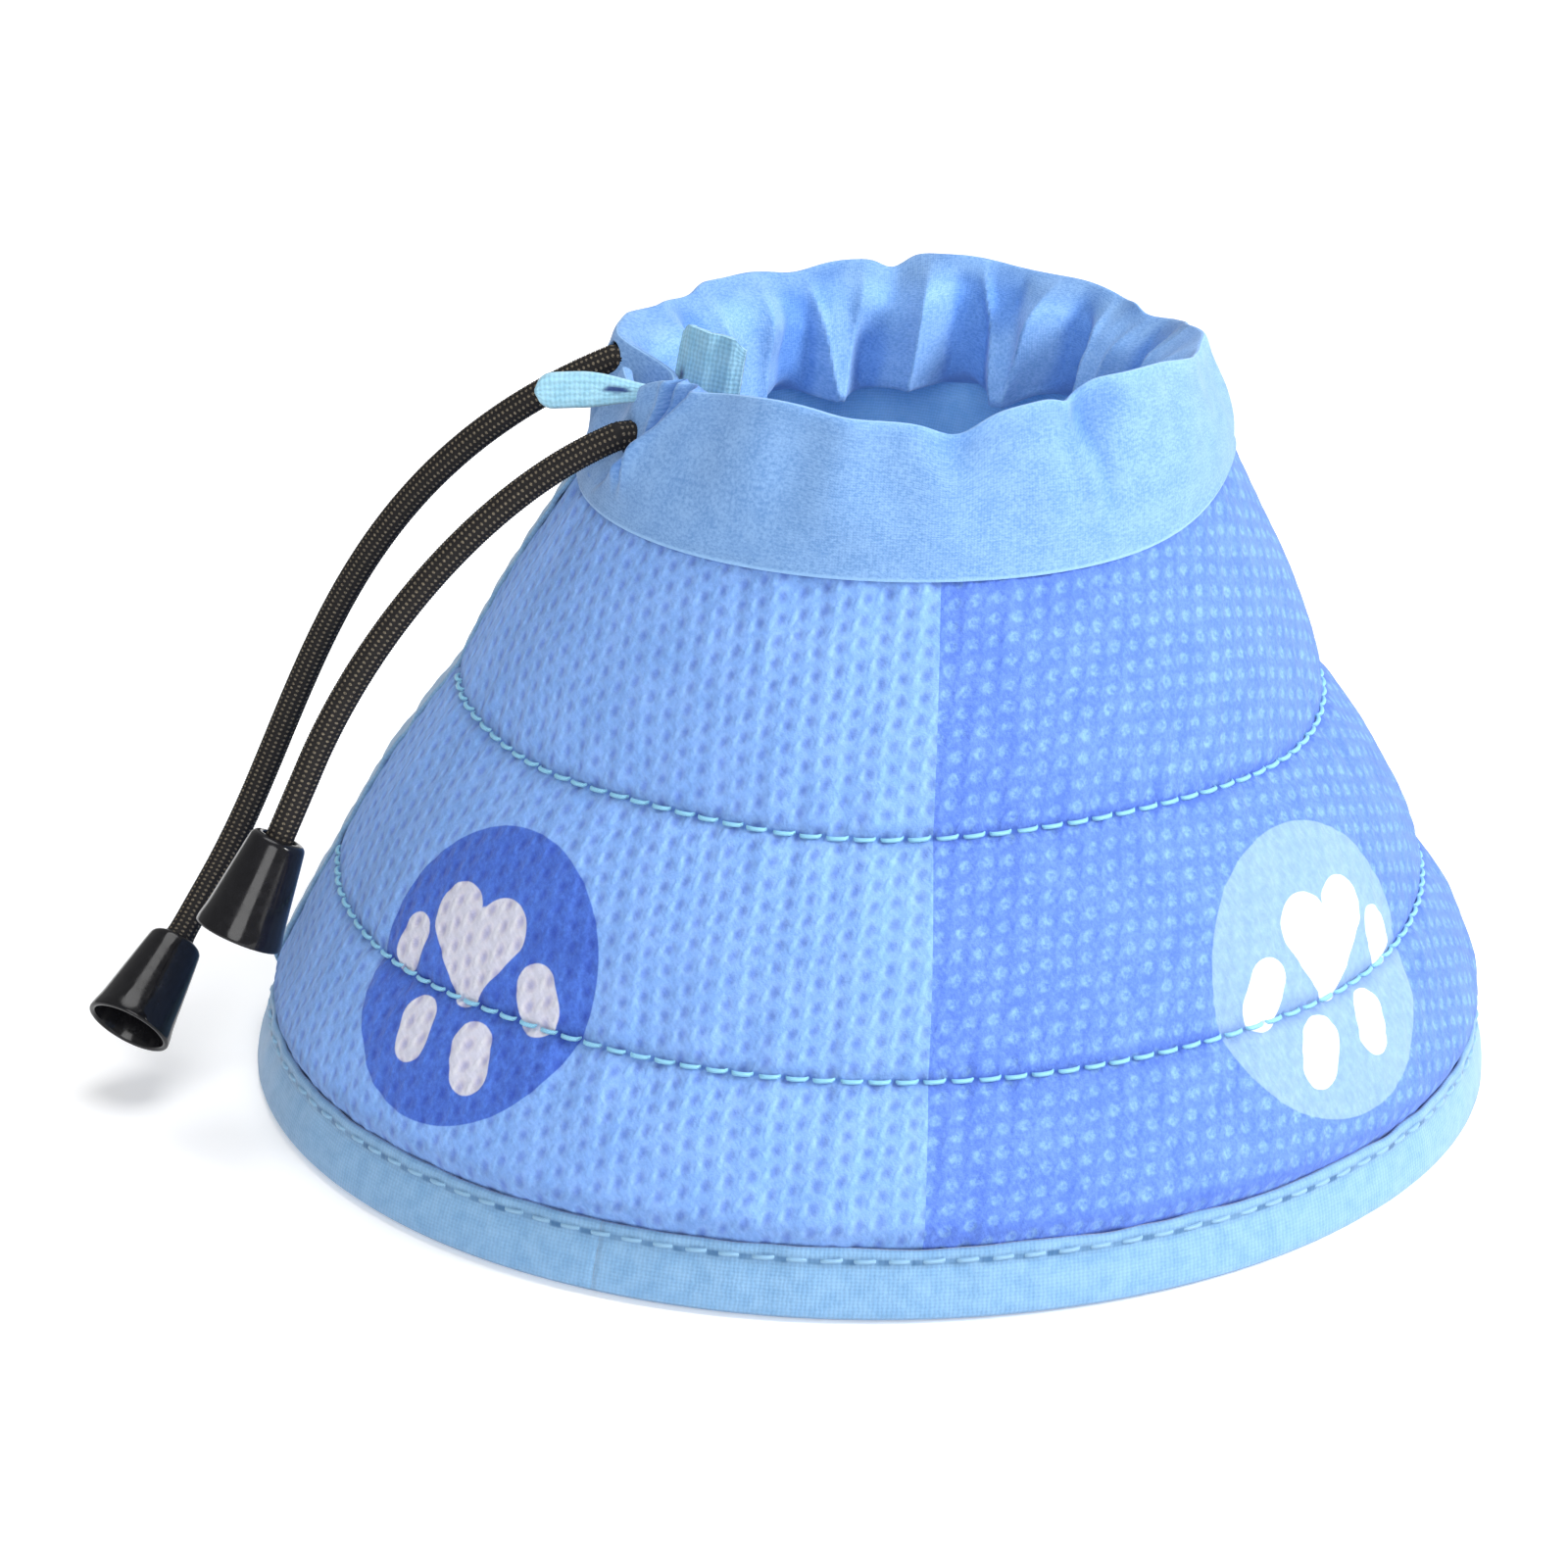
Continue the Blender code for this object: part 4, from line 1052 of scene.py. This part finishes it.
def band_shape(station, azimuth):
    """Point on the folded band, and its shares of painted shade in a fold and of painted highlight on the
    rim's lip.
    """
    radius, height = along_section(station)
    foot = foot_rise(azimuth)
    inner = smooth(station, RIM_STATION, RIM_STATION + 2.4)
    down = np.clip((station - RIM_STATION) / (EDGE_STATION - RIM_STATION), 0, 1)
    share = np.clip((height - 87 * MM) / (106 * MM - 87 * MM), 0, 1)
    out, valley = outer_folds(share, azimuth)
    into, lobes = inner_folds(down, azimuth)
    fullness = 0.26 + 0.74 * smooth(down, 0.05, 0.6)
    home = 1 - smooth(station, EDGE_STATION + 0.3, LAST_STATION)
    bulge = 2.4 * MM * hump(angle_gap(azimuth, 257), 9) * smooth(share, 0.1, 0.7)
    radius = radius + (out + bulge) * (1 - inner) - into * inner * fullness * home
    ends = 1 - smooth(azimuth, FLAP_BAND_EDGE, FLAP_BAND_EDGE + BAND_CLOSING)
    ends = ends + smooth(azimuth, REAR_BAND_END - BAND_CLOSING, REAR_BAND_END)
    outside = BAND_SECTION[: RIM_STATION + 1] * MM
    against = np.interp(height, outside[:, 1], outside[:, 0]) - 1.1 * MM
    radius = radius + (np.maximum(against, radius) - radius) * inner * ends - 0.5 * foot
    edge = smooth(station, EDGE_STATION - 2.5, EDGE_STATION)
    lifted = smooth(height, 88 * MM, 105 * MM)
    height = height + rim_rise(azimuth) * lifted - edge * home * (lobes - 0.8 * MM)
    height = height + foot * (1 - inner) * (1 - smooth(share, 0.1, 0.9))
    tuck = 6.2 * MM * smooth(azimuth, 261, 274.5)
    bead = 0.28 * MM * hump(station - 0.12, 0.1)
    # Shares of painted shade: in the pinched gathers inside and in the valleys outside.
    pinched = smooth(into - squeeze(azimuth), 1.3 * MM, -0.5 * MM) * smooth(down, 0.0, 0.3) * 0.85
    fold = np.clip(valley, 0, 1) * (1 - inner) + inner * pinched
    # Painted highlight share along the lip of the rim.
    lip = 0.75 * hump(station - RIM_STATION + 0.15, 0.16) * (1 - fold)
    return place(radius - tuck + bead, height, azimuth), {"fold": np.clip(fold, 0, 1), "lip": lip}


def open_slit(front, centre, radius):
    """Cells clear of a round slit; the points beside it are drawn onto its edge."""
    middle = front.reshape(-1, 3)[np.argmin(np.linalg.norm(front - centre, axis=-1))]
    away = np.linalg.norm(front - middle, axis=-1)
    clear = away >= radius
    rows, columns = clear.shape
    inside = np.pad(~clear, 1)
    near = sum(inside[i : i + rows, j : j + columns] for i in range(3) for j in range(3)) > 0
    drawn = middle + (front - middle) * (radius / np.maximum(away, 1e-9))[..., None]
    keep = clear[:-1, :-1] & clear[1:, :-1] & clear[:-1, 1:] & clear[1:, 1:]
    return keep, np.where((near & clear)[..., None], drawn, front)


def band_piece(name, start, end, slit=None):
    columns = columns_between(start, end, CHANNEL_RADIUS + 3 * MM, 0.5 * MM)
    station, azimuth = np.meshgrid(np.linspace(0, LAST_STATION, 113), columns, indexing="ij")
    front, fields = band_shape(station, azimuth)
    normals = surface_normals(front)
    front, azimuth = core(front, azimuth)
    fields = {k: v[:, 1:-1] for k, v in fields.items()}
    keep = None
    if slit is not None:
        keep, front = open_slit(front, slit, 2.35 * MM)
    run = np.radians(azimuth) * CHANNEL_RADIUS / CM
    uv = np.stack([run, run_along(front[:, 0])[:, None] / CM + 0 * run], -1)
    return dress(shell(name, front, front - normals * 0.5 * MM, uv, normals, fields, keep), BAND)


REAR_EXIT, FRONT_EXIT = (np.array(joint(name)["pos_m"]) for name in ("rear_cord_swing", "front_cord_swing"))
left = band_piece("neck_band_left", FLAP_BAND_EDGE, LEFT_SPLIT, FRONT_EXIT)
bend(left, "left", "band_cloth", "neck_band_flap")
bend(band_piece("neck_band_right", LEFT_SPLIT, RIGHT_SPLIT), "front", "band_cloth", "neck_band_front")
rear = band_piece("neck_band_rear", RIGHT_SPLIT, REAR_BAND_END, REAR_EXIT)
bend(rear, "rear", "band_cloth", "neck_band_main", "neck_band_back")


# ---- cords and their ends

# Bow of each tail and the top of its end, as in the CAD.
REAR_BOW = np.array([-77.0, 4.0, 85.0]) * MM
REAR_TOP = np.array([-99.4, -7.7, 18.7]) * MM
FRONT_BOW = np.array([-52.4, -17.9, 90.3]) * MM
FRONT_TOP = np.array([-81.9, -26.6, 42.5]) * MM
TAIL_STRAIGHT = 11 * MM
KNOT_DEPTH = 6.2 * MM
EASING = 0.33
SEAT_RADIUS = 1.5 * MM


def tail_line(exit_point, bow, top, axis):
    """Points along a tail: out of the channel, in a bow, then straight to the knot."""
    x, y, height = exit_point
    entry = place(CHANNEL_RADIUS + 0.2 * MM, height, math.degrees(math.atan2(x - LEAN * height, -y)))
    knot = top + KNOT_DEPTH * axis
    level = top - TAIL_STRAIGHT * axis
    easing = level - EASING * np.linalg.norm(level - exit_point) * axis
    inside = entry + (exit_point - entry) * np.linspace(0, 1, 8)[:-1, None]
    curve = bezier(exit_point, bow, easing, level, np.linspace(0, 1, 90)[:, None])
    straight = level + np.linspace(0, 1, 20)[1:, None] * (knot - level)
    return np.concatenate([inside, curve, straight])


def resample(line, step):
    run = run_along(line)
    stops = np.linspace(0, run[-1], int(run[-1] / step) + 1)
    return np.stack([np.interp(stops, run, line[:, k]) for k in range(3)], -1), stops


def knot_flare(share):
    """The cord swells into its knot at the very end."""
    return 1 + 0.62 * hump(share - 0.972, 0.020)


def braid(name, line, radius=CORD_RADIUS, around=60, step=0.18 * MM, knot=False):
    """Braided cord along a line: two sets of yarns that cross over and under."""
    path, run = resample(line, step)
    tangent = unit(np.gradient(path, axis=0))
    sides = [unit(np.cross(tangent[0], [0.1, 0.2, 1.0]))]
    for t in tangent[1:]:
        sides.append(unit(sides[-1] - t * (sides[-1] @ t)))
    sides = np.array(sides)
    turns = circle(around)[None]
    one, two = (turns * YARNS / (2 * np.pi) + sign * run[:, None] / YARN_PITCH for sign in (1, -1))
    over_one = np.sin(np.pi * one) ** 2 * (0.55 + 0.45 * np.cos(np.pi * two) ** 2)
    over_two = np.sin(np.pi * two) ** 2 * (0.55 + 0.45 * np.cos(np.pi * one) ** 2)
    girth = radius * (0.88 + 0.14 * np.maximum(over_one, over_two))
    if knot:
        girth = girth * knot_flare(run / run[-1])[:, None]
    uvs = np.stack([run[:, None] + 0 * turns, turns * CORD_RADIUS + 0 * run[:, None]], -1) / CM
    return dress(tube(name, hoops(path, sides, np.cross(tangent, sides), girth, around), uvs), BRAID)


def seated(stretch, start, end, *nodes):
    """Cord inside the band's channel."""
    azimuth = np.linspace(start, end, int(abs(end - start) / 2) + 2)
    radius = CORD_SEAT[0] - 0.5 * foot_rise(azimuth) - squeeze(azimuth)
    line = place(radius, CORD_SEAT[1] + 0.8 * rim_rise(azimuth), azimuth)
    bend(braid(f"drawcord_{stretch}", line, SEAT_RADIUS, 28, 0.4 * MM), stretch, "cord", *nodes)


seated("left", -69.5, LEFT_SPLIT, "drawcord_flap")
seated("front", LEFT_SPLIT, RIGHT_SPLIT, "drawcord_front")
seated("rear", RIGHT_SPLIT, 262, "drawcord_main", "drawcord_back")

# Section of a bell, from the bore in its roof down the outside and up the inside: radius, depth below the top
# and corner size, in millimetres.
BELL_SECTION = (
    ((2.45, 0.0, 0.25), (3.9, 0.0, 1.0), (4.55, 4.2, 1.5), (5.75, 12.2, 1.2), (6.2, 14.0, 0.5))
    + ((6.3, 15.0, 0.42), (5.45, 15.0, 0.38), (4.95, 12.4, 0.8), (3.8, 4.2, 1.0), (3.35, 1.7, 0.5))
    + ((2.45, 1.7, 0.25),)
)


def rounded(corners, steps=5):
    """Closed outline with its corners drawn round."""
    corners = np.array(corners) * MM
    here, size = corners[:, None, :2], corners[:, None, 2:]
    a, b = (here + unit(np.roll(here, turn, axis=0) - here) * size for turn in (1, -1))
    t = np.linspace(0, 1, steps)[:, None]
    return ((1 - t) ** 2 * a + 2 * t * (1 - t) * here + t * t * b).reshape(-1, 2)


def bell(name, top, axis, around=72):
    """Hollow end of a cord: turned bell with a beaded lip and a bore in its roof."""
    radius, depth = rounded(BELL_SECTION).T
    side = np.array(Vector(axis).orthogonal().normalized())[None]
    rings = hoops(top + axis * depth[:, None], side, np.cross(axis, side), radius[:, None], around)
    return dress(finish_mesh(name, rings.reshape(-1, 3), ring_faces(len(radius), around)[0]), BELL)


def tail(side, exit_point, bow, top):
    """Cord tail with its knot, and the bell that slides on it."""
    axis = -unit(np.array(joint(f"{side}_end_slide")["axis"], float))
    cord = braid(f"tail_{side}", tail_line(exit_point, bow, top, axis), knot=True)
    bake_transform(cord)
    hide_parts(f"cord_tail_{side}")
    end = f"cord_end_{side}"
    fixed(bell(end, top, axis), f"{side}_cord_end", "cord_end", end)


tail("rear", REAR_EXIT, REAR_BOW, REAR_TOP)
tail("front", FRONT_EXIT, FRONT_BOW, FRONT_TOP)


# ---- closure


def edge_tape(name, edge, side, near, far, body):
    """Tape folded round the free edge of a lap, from inside the hem tape to the neck."""
    thick, lift, curl, fold, span = 0.7 * MM, 0.75 * MM, 0.25 * MM, 0.7, 6.0
    across = edge + side * span * np.array([0, 0.25, 0.5, 0.8, 0.95, 1.0])
    rim = curl * (np.arange(6) == 5)

    def leg(depth):
        return np.stack([across, depth + 0 * across], -1)

    rings, uvs = [], []
    for slant in np.linspace(-2.4 * MM, NECK + 0.4 * MM, 94):
        radius, height = on_line(slant)
        swell = puff(slant, float(edge), PUFF_OUT)
        wave = 0.12 * MM * waver(slant / MM, 9, 77) + 0.08 * MM * np.sin(2 * np.pi * slant / (4.2 * MM))
        tucked = 1.4 * MM * (1 - smooth(slant, -2.0 * MM, 0.2 * MM))
        out = swell + hem_ease(slant) - near + lift + wave - tucked
        under = swell - far - lift - wave
        outer = [(edge - side * fold * 0.7, out - curl), (edge - side * fold, (out + under) / 2)]
        outer += [(edge - side * fold * 0.7, under + curl)]
        inner = [(edge - side * 0.05, under + thick + 0.1 * MM), (edge - side * 0.05, out - thick - 0.1 * MM)]
        outside = [leg(out - rim)[::-1], outer, leg(under + rim)]
        azimuths, depth = np.concatenate([*outside, leg(under + thick)[::-1], inner, leg(out - thick)]).T
        points = place(radius + depth * 0.95, height + depth * 0.25, azimuths)
        rings.append(points)
        arc = run_along(points) / CM
        uvs.append(np.stack([0 * arc + slant / CM, arc], -1))
    rings, uvs = np.array(rings)[:, ::side], np.array(uvs)[:, ::side]
    fixed(dress(tube(name, rings, uvs), TAPE), body, "binding_tape", name)


edge_tape("edge_tape_flap", FLAP_EDGE, 1, 0.0, FLAP_LINING, "closure_flap")
edge_tape("edge_tape_underlap", UNDERLAP_END, -1, UNDERLAP_NEAR, UNDERLAP_FAR, "back_wall")


def inset_patch(name, slants, columns, near, thick, materials, relief=None, step_down=False):
    """Sheet that follows the outer wall at an inset, as the underlap and the fastener strips do."""
    slant, azimuth = np.meshgrid(slants, columns, indexing="ij")
    swell = puff(slant, azimuth, PUFF_OUT)
    radius, height = on_line(slant)

    def sheet(inset):
        depth = swell - inset
        return place(radius + depth * 0.97, height + depth * 0.2, azimuth)

    close = near + 0 * slant
    if step_down:
        edge, top = columns[1], 0.9 * MM
        close = top + (near - top) * smooth(azimuth, edge + 0.5, edge + 1.9)
    if relief is not None:
        close = close - relief(*flat_mm(azimuth, slant))
    front = sheet(close)
    run = np.degrees((close - close.min()) / radius) * step_down
    fields = {k: v[:, 1:-1] for k, v in print_fields(azimuth, slant).items()}
    grids = core(front, sheet(close + thick), flat(azimuth + run, slant))
    made = shell(name, *grids, surface_normals(front), fields, two_sided=len(materials) > 1)
    return dress(made, *materials)


def underlap_cloth():
    """Thin end of the rear half: it steps down behind the flap."""
    start, end, step = 260.2, UNDERLAP_END - 0.3, 2.2
    columns = np.concatenate([np.linspace(start, start + step, 24)[:-1], np.linspace(start + step, end, 60)])
    columns = np.concatenate([[start - 0.1], columns, [end + 0.5]])
    low = -3 * MM
    slants = np.linspace(low, NECK, int((NECK - low) / MM) + 1)
    thick = UNDERLAP_FAR - UNDERLAP_NEAR
    materials = (DARK_PRINT, LINING)
    return inset_patch("underlap_cloth", slants, columns, UNDERLAP_NEAR, thick, materials, step_down=True)


fixed(underlap_cloth(), "back_wall", "lining_mesh", "underlap_cloth")


def hook_relief(x, y):
    return -0.22 * MM * np.clip(np.sin(2 * np.pi * x / 1.6) * np.sin(2 * np.pi * y / 1.6), 0, 1)


def loop_relief(x, y):
    return 0.18 * MM * ripples(x, y, 2.2, 55)


def fastener(name, start, end, near, material, relief):
    low, high, step = 3.4 * MM, NECK - 4.0 * MM, 0.5 * MM
    slants = np.linspace(low, high, int((high - low) / step) + 1)
    columns = columns_between(start, end, QUILT_RADIUS, step)
    return inset_patch(name, slants, columns, near, 0.8 * MM, (material,), relief)


bend(fastener("hook_strip", -89, -63, 4.5 * MM, HOOK, hook_relief), "left", "hook", "hook_strip")
fixed(fastener("loop_strip", 269.2, 287.5, 5.7 * MM, LOOP, loop_relief), "back_wall", "loop", "loop_strip")


def tape_tail():
    """Loose end of the edge tape, beside the neck band: a flat ribbon with a rounded end."""
    low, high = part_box("tape_tail")
    middle = (low + high) / 2
    root = np.array([high.x + 7.4 * MM, middle.y - 1.0 * MM, middle.z - 0.7 * MM])
    tip = np.array([low.x + 0.8 * MM, middle.y + 0.8 * MM, middle.z - 0.7 * MM])
    t = np.linspace(0, 1, 24)[:, None]
    sag = np.array([0, 0, 0.5]) * MM
    path, run = resample(root + (tip - root) * t + sag * np.sin(np.pi * t), 0.5 * MM)
    sideways, width, thick = np.array([0.05, 0.30, 1.0]), 5.0 * MM, 1.4 * MM
    tangent = unit(np.gradient(path, axis=0))
    side = unit(sideways - tangent * (tangent @ sideways)[:, None])
    left = np.clip((run[-1] - run) / (width / 2), 0, 1)
    half = width / 2 * np.sqrt(np.maximum(1 - (1 - left) ** 2, 0.02))
    half = half * (0.45 + 0.55 * smooth(run / run[-1], 0.05, 0.65))
    across = np.linspace(-1, 1, 11)
    top = np.stack([across, 0.5 * (1 - across**4) ** 0.5], -1)
    section = np.concatenate([top, top[::-1][1:-1] * [1, -1]])[None]
    rings = path[:, None] + section[..., :1] * half[:, None, None] * side[:, None]
    rings = rings + section[..., 1:] * thick * np.cross(tangent, side)[:, None]
    cross = section[..., 0] + 0 * run[:, None]
    uvs = np.stack([cross * width / 2, run[:, None] + 0 * cross], -1) / CM
    share = np.linspace(0, 1, len(rings))[:, None]
    # The slot through the tail is not cut: it is painted shade, a dark patch carried by the slot attribute.
    slot = smooth(1 - np.hypot((share - 0.36) / 0.13, (cross - 0.05) / 0.30), 0, 0.35)
    return dress(tube("tape_tail", rings, uvs, {"slot": slot}), LIT_TAB_TAPE)


fixed(tape_tail(), "closure_flap", "binding_tape", "tape_tail")


def band_underlap():
    """Inner end of the neck band: a tape-bound tab that turns into the neck."""
    foot, rim = 90.5 * MM, 108.9 * MM
    plan = np.array([(-33.2, -0.8), (-31.6, -3.4), (-28.4, -4.6), (-24.4, -5.4)]) * MM
    path = bezier(*plan, np.linspace(1, 0, 40)[:, None])
    share, level = np.meshgrid(np.linspace(1, 0, 40), np.linspace(0, 1, 44), indexing="ij")
    height = foot + (rim - 1.6 * MM * share - foot) * level
    corner = smooth(np.abs(2 * share - 1), 0.72, 1.0) * np.clip((level - 0.8) / 0.2, 0, 1)
    height = height - 1.3 * MM * corner
    bow = 0.5 * MM * np.sin(np.pi * level) + 0.2 * MM * waver(share * 30, 9, 81)
    x = path[:, :1] + LEAN * height - (2.0 * MM - 0.4 * MM * share) * (1 - level)
    face = np.stack([x, path[:, 1:] - bow, height], -1)
    normals = unit(np.cross(np.gradient(face, axis=1), np.gradient(face, axis=0)))
    uv = np.stack([share * 1.4, level * 1.7], -1)
    # Painted shade: a dark spot where a needle hole is, carried by the slot attribute.
    needle_hole_shade = hump(np.hypot(share - 0.16, level - 0.62), 0.05)
    made = shell("neck_band_underlap", face, face - normals * 1.2 * MM, uv, normals, {"slot": needle_hole_shade})
    return dress(made, LIT_TAB_TAPE)


fixed(band_underlap(), "back_wall", "band_cloth", "neck_band_underlap")


# ---- studio


def floor():
    bpy.ops.mesh.primitive_plane_add(size=6, location=(0, 0, -0.0002))
    made = bpy.context.object
    made.name = "floor"
    paint = Paint("pale_floor", 0.9, 0.1)
    cloudy = paint.noise(paint.place(), 3.0, 2.0)
    paint.put(paint.shader, "Base Color", paint.mix(cloudy, (0.90, 0.90, 0.90), (0.93, 0.93, 0.93)))
    paint.put(paint.shader, "Emission Color", (1, 1, 1, 1))
    paint.put(paint.shader, "Emission Strength", 0.22)
    dress(made, paint.material)


def aimed(name, data, location, aim):
    made = bpy.data.objects.new(name, data)
    made.location = location
    made.rotation_euler = (Vector(aim) - made.location).to_track_quat("-Z", "Y").to_euler()
    bpy.context.scene.collection.objects.link(made)
    return made


def area_light(name, location, size, energy):
    data = bpy.data.lights.new(name, "AREA")
    data.shape = "DISK"
    data.size = size
    data.energy = energy
    aimed(name, data, location, (0.0, 0.0, 0.05))


floor()
area_light("key", (1.25, -0.40, 0.80), 0.55, 24.0)
area_light("front", (-0.10, -1.45, 0.80), 1.0, 13.0)
area_light("top", (0.1, 0.25, 1.5), 1.0, 11.0)
scene = bpy.context.scene
scene.world = bpy.data.worlds.new("studio")
scene.world.use_nodes = True
scene.world.node_tree.nodes["Background"].inputs[0].default_value = (1, 1, 1, 1)
scene.world.node_tree.nodes["Background"].inputs[1].default_value = 0.36
scene.view_settings.view_transform = "Standard"
scene.view_settings.look = "None"
lens = bpy.data.cameras.new("camera")
lens.lens = 110.8
lens.sensor_width = 36
lens.clip_start = 0.05
scene.camera = aimed("camera", lens, (-0.0123, -0.6431, 0.2951), (-0.0123, 0, 0.0399))
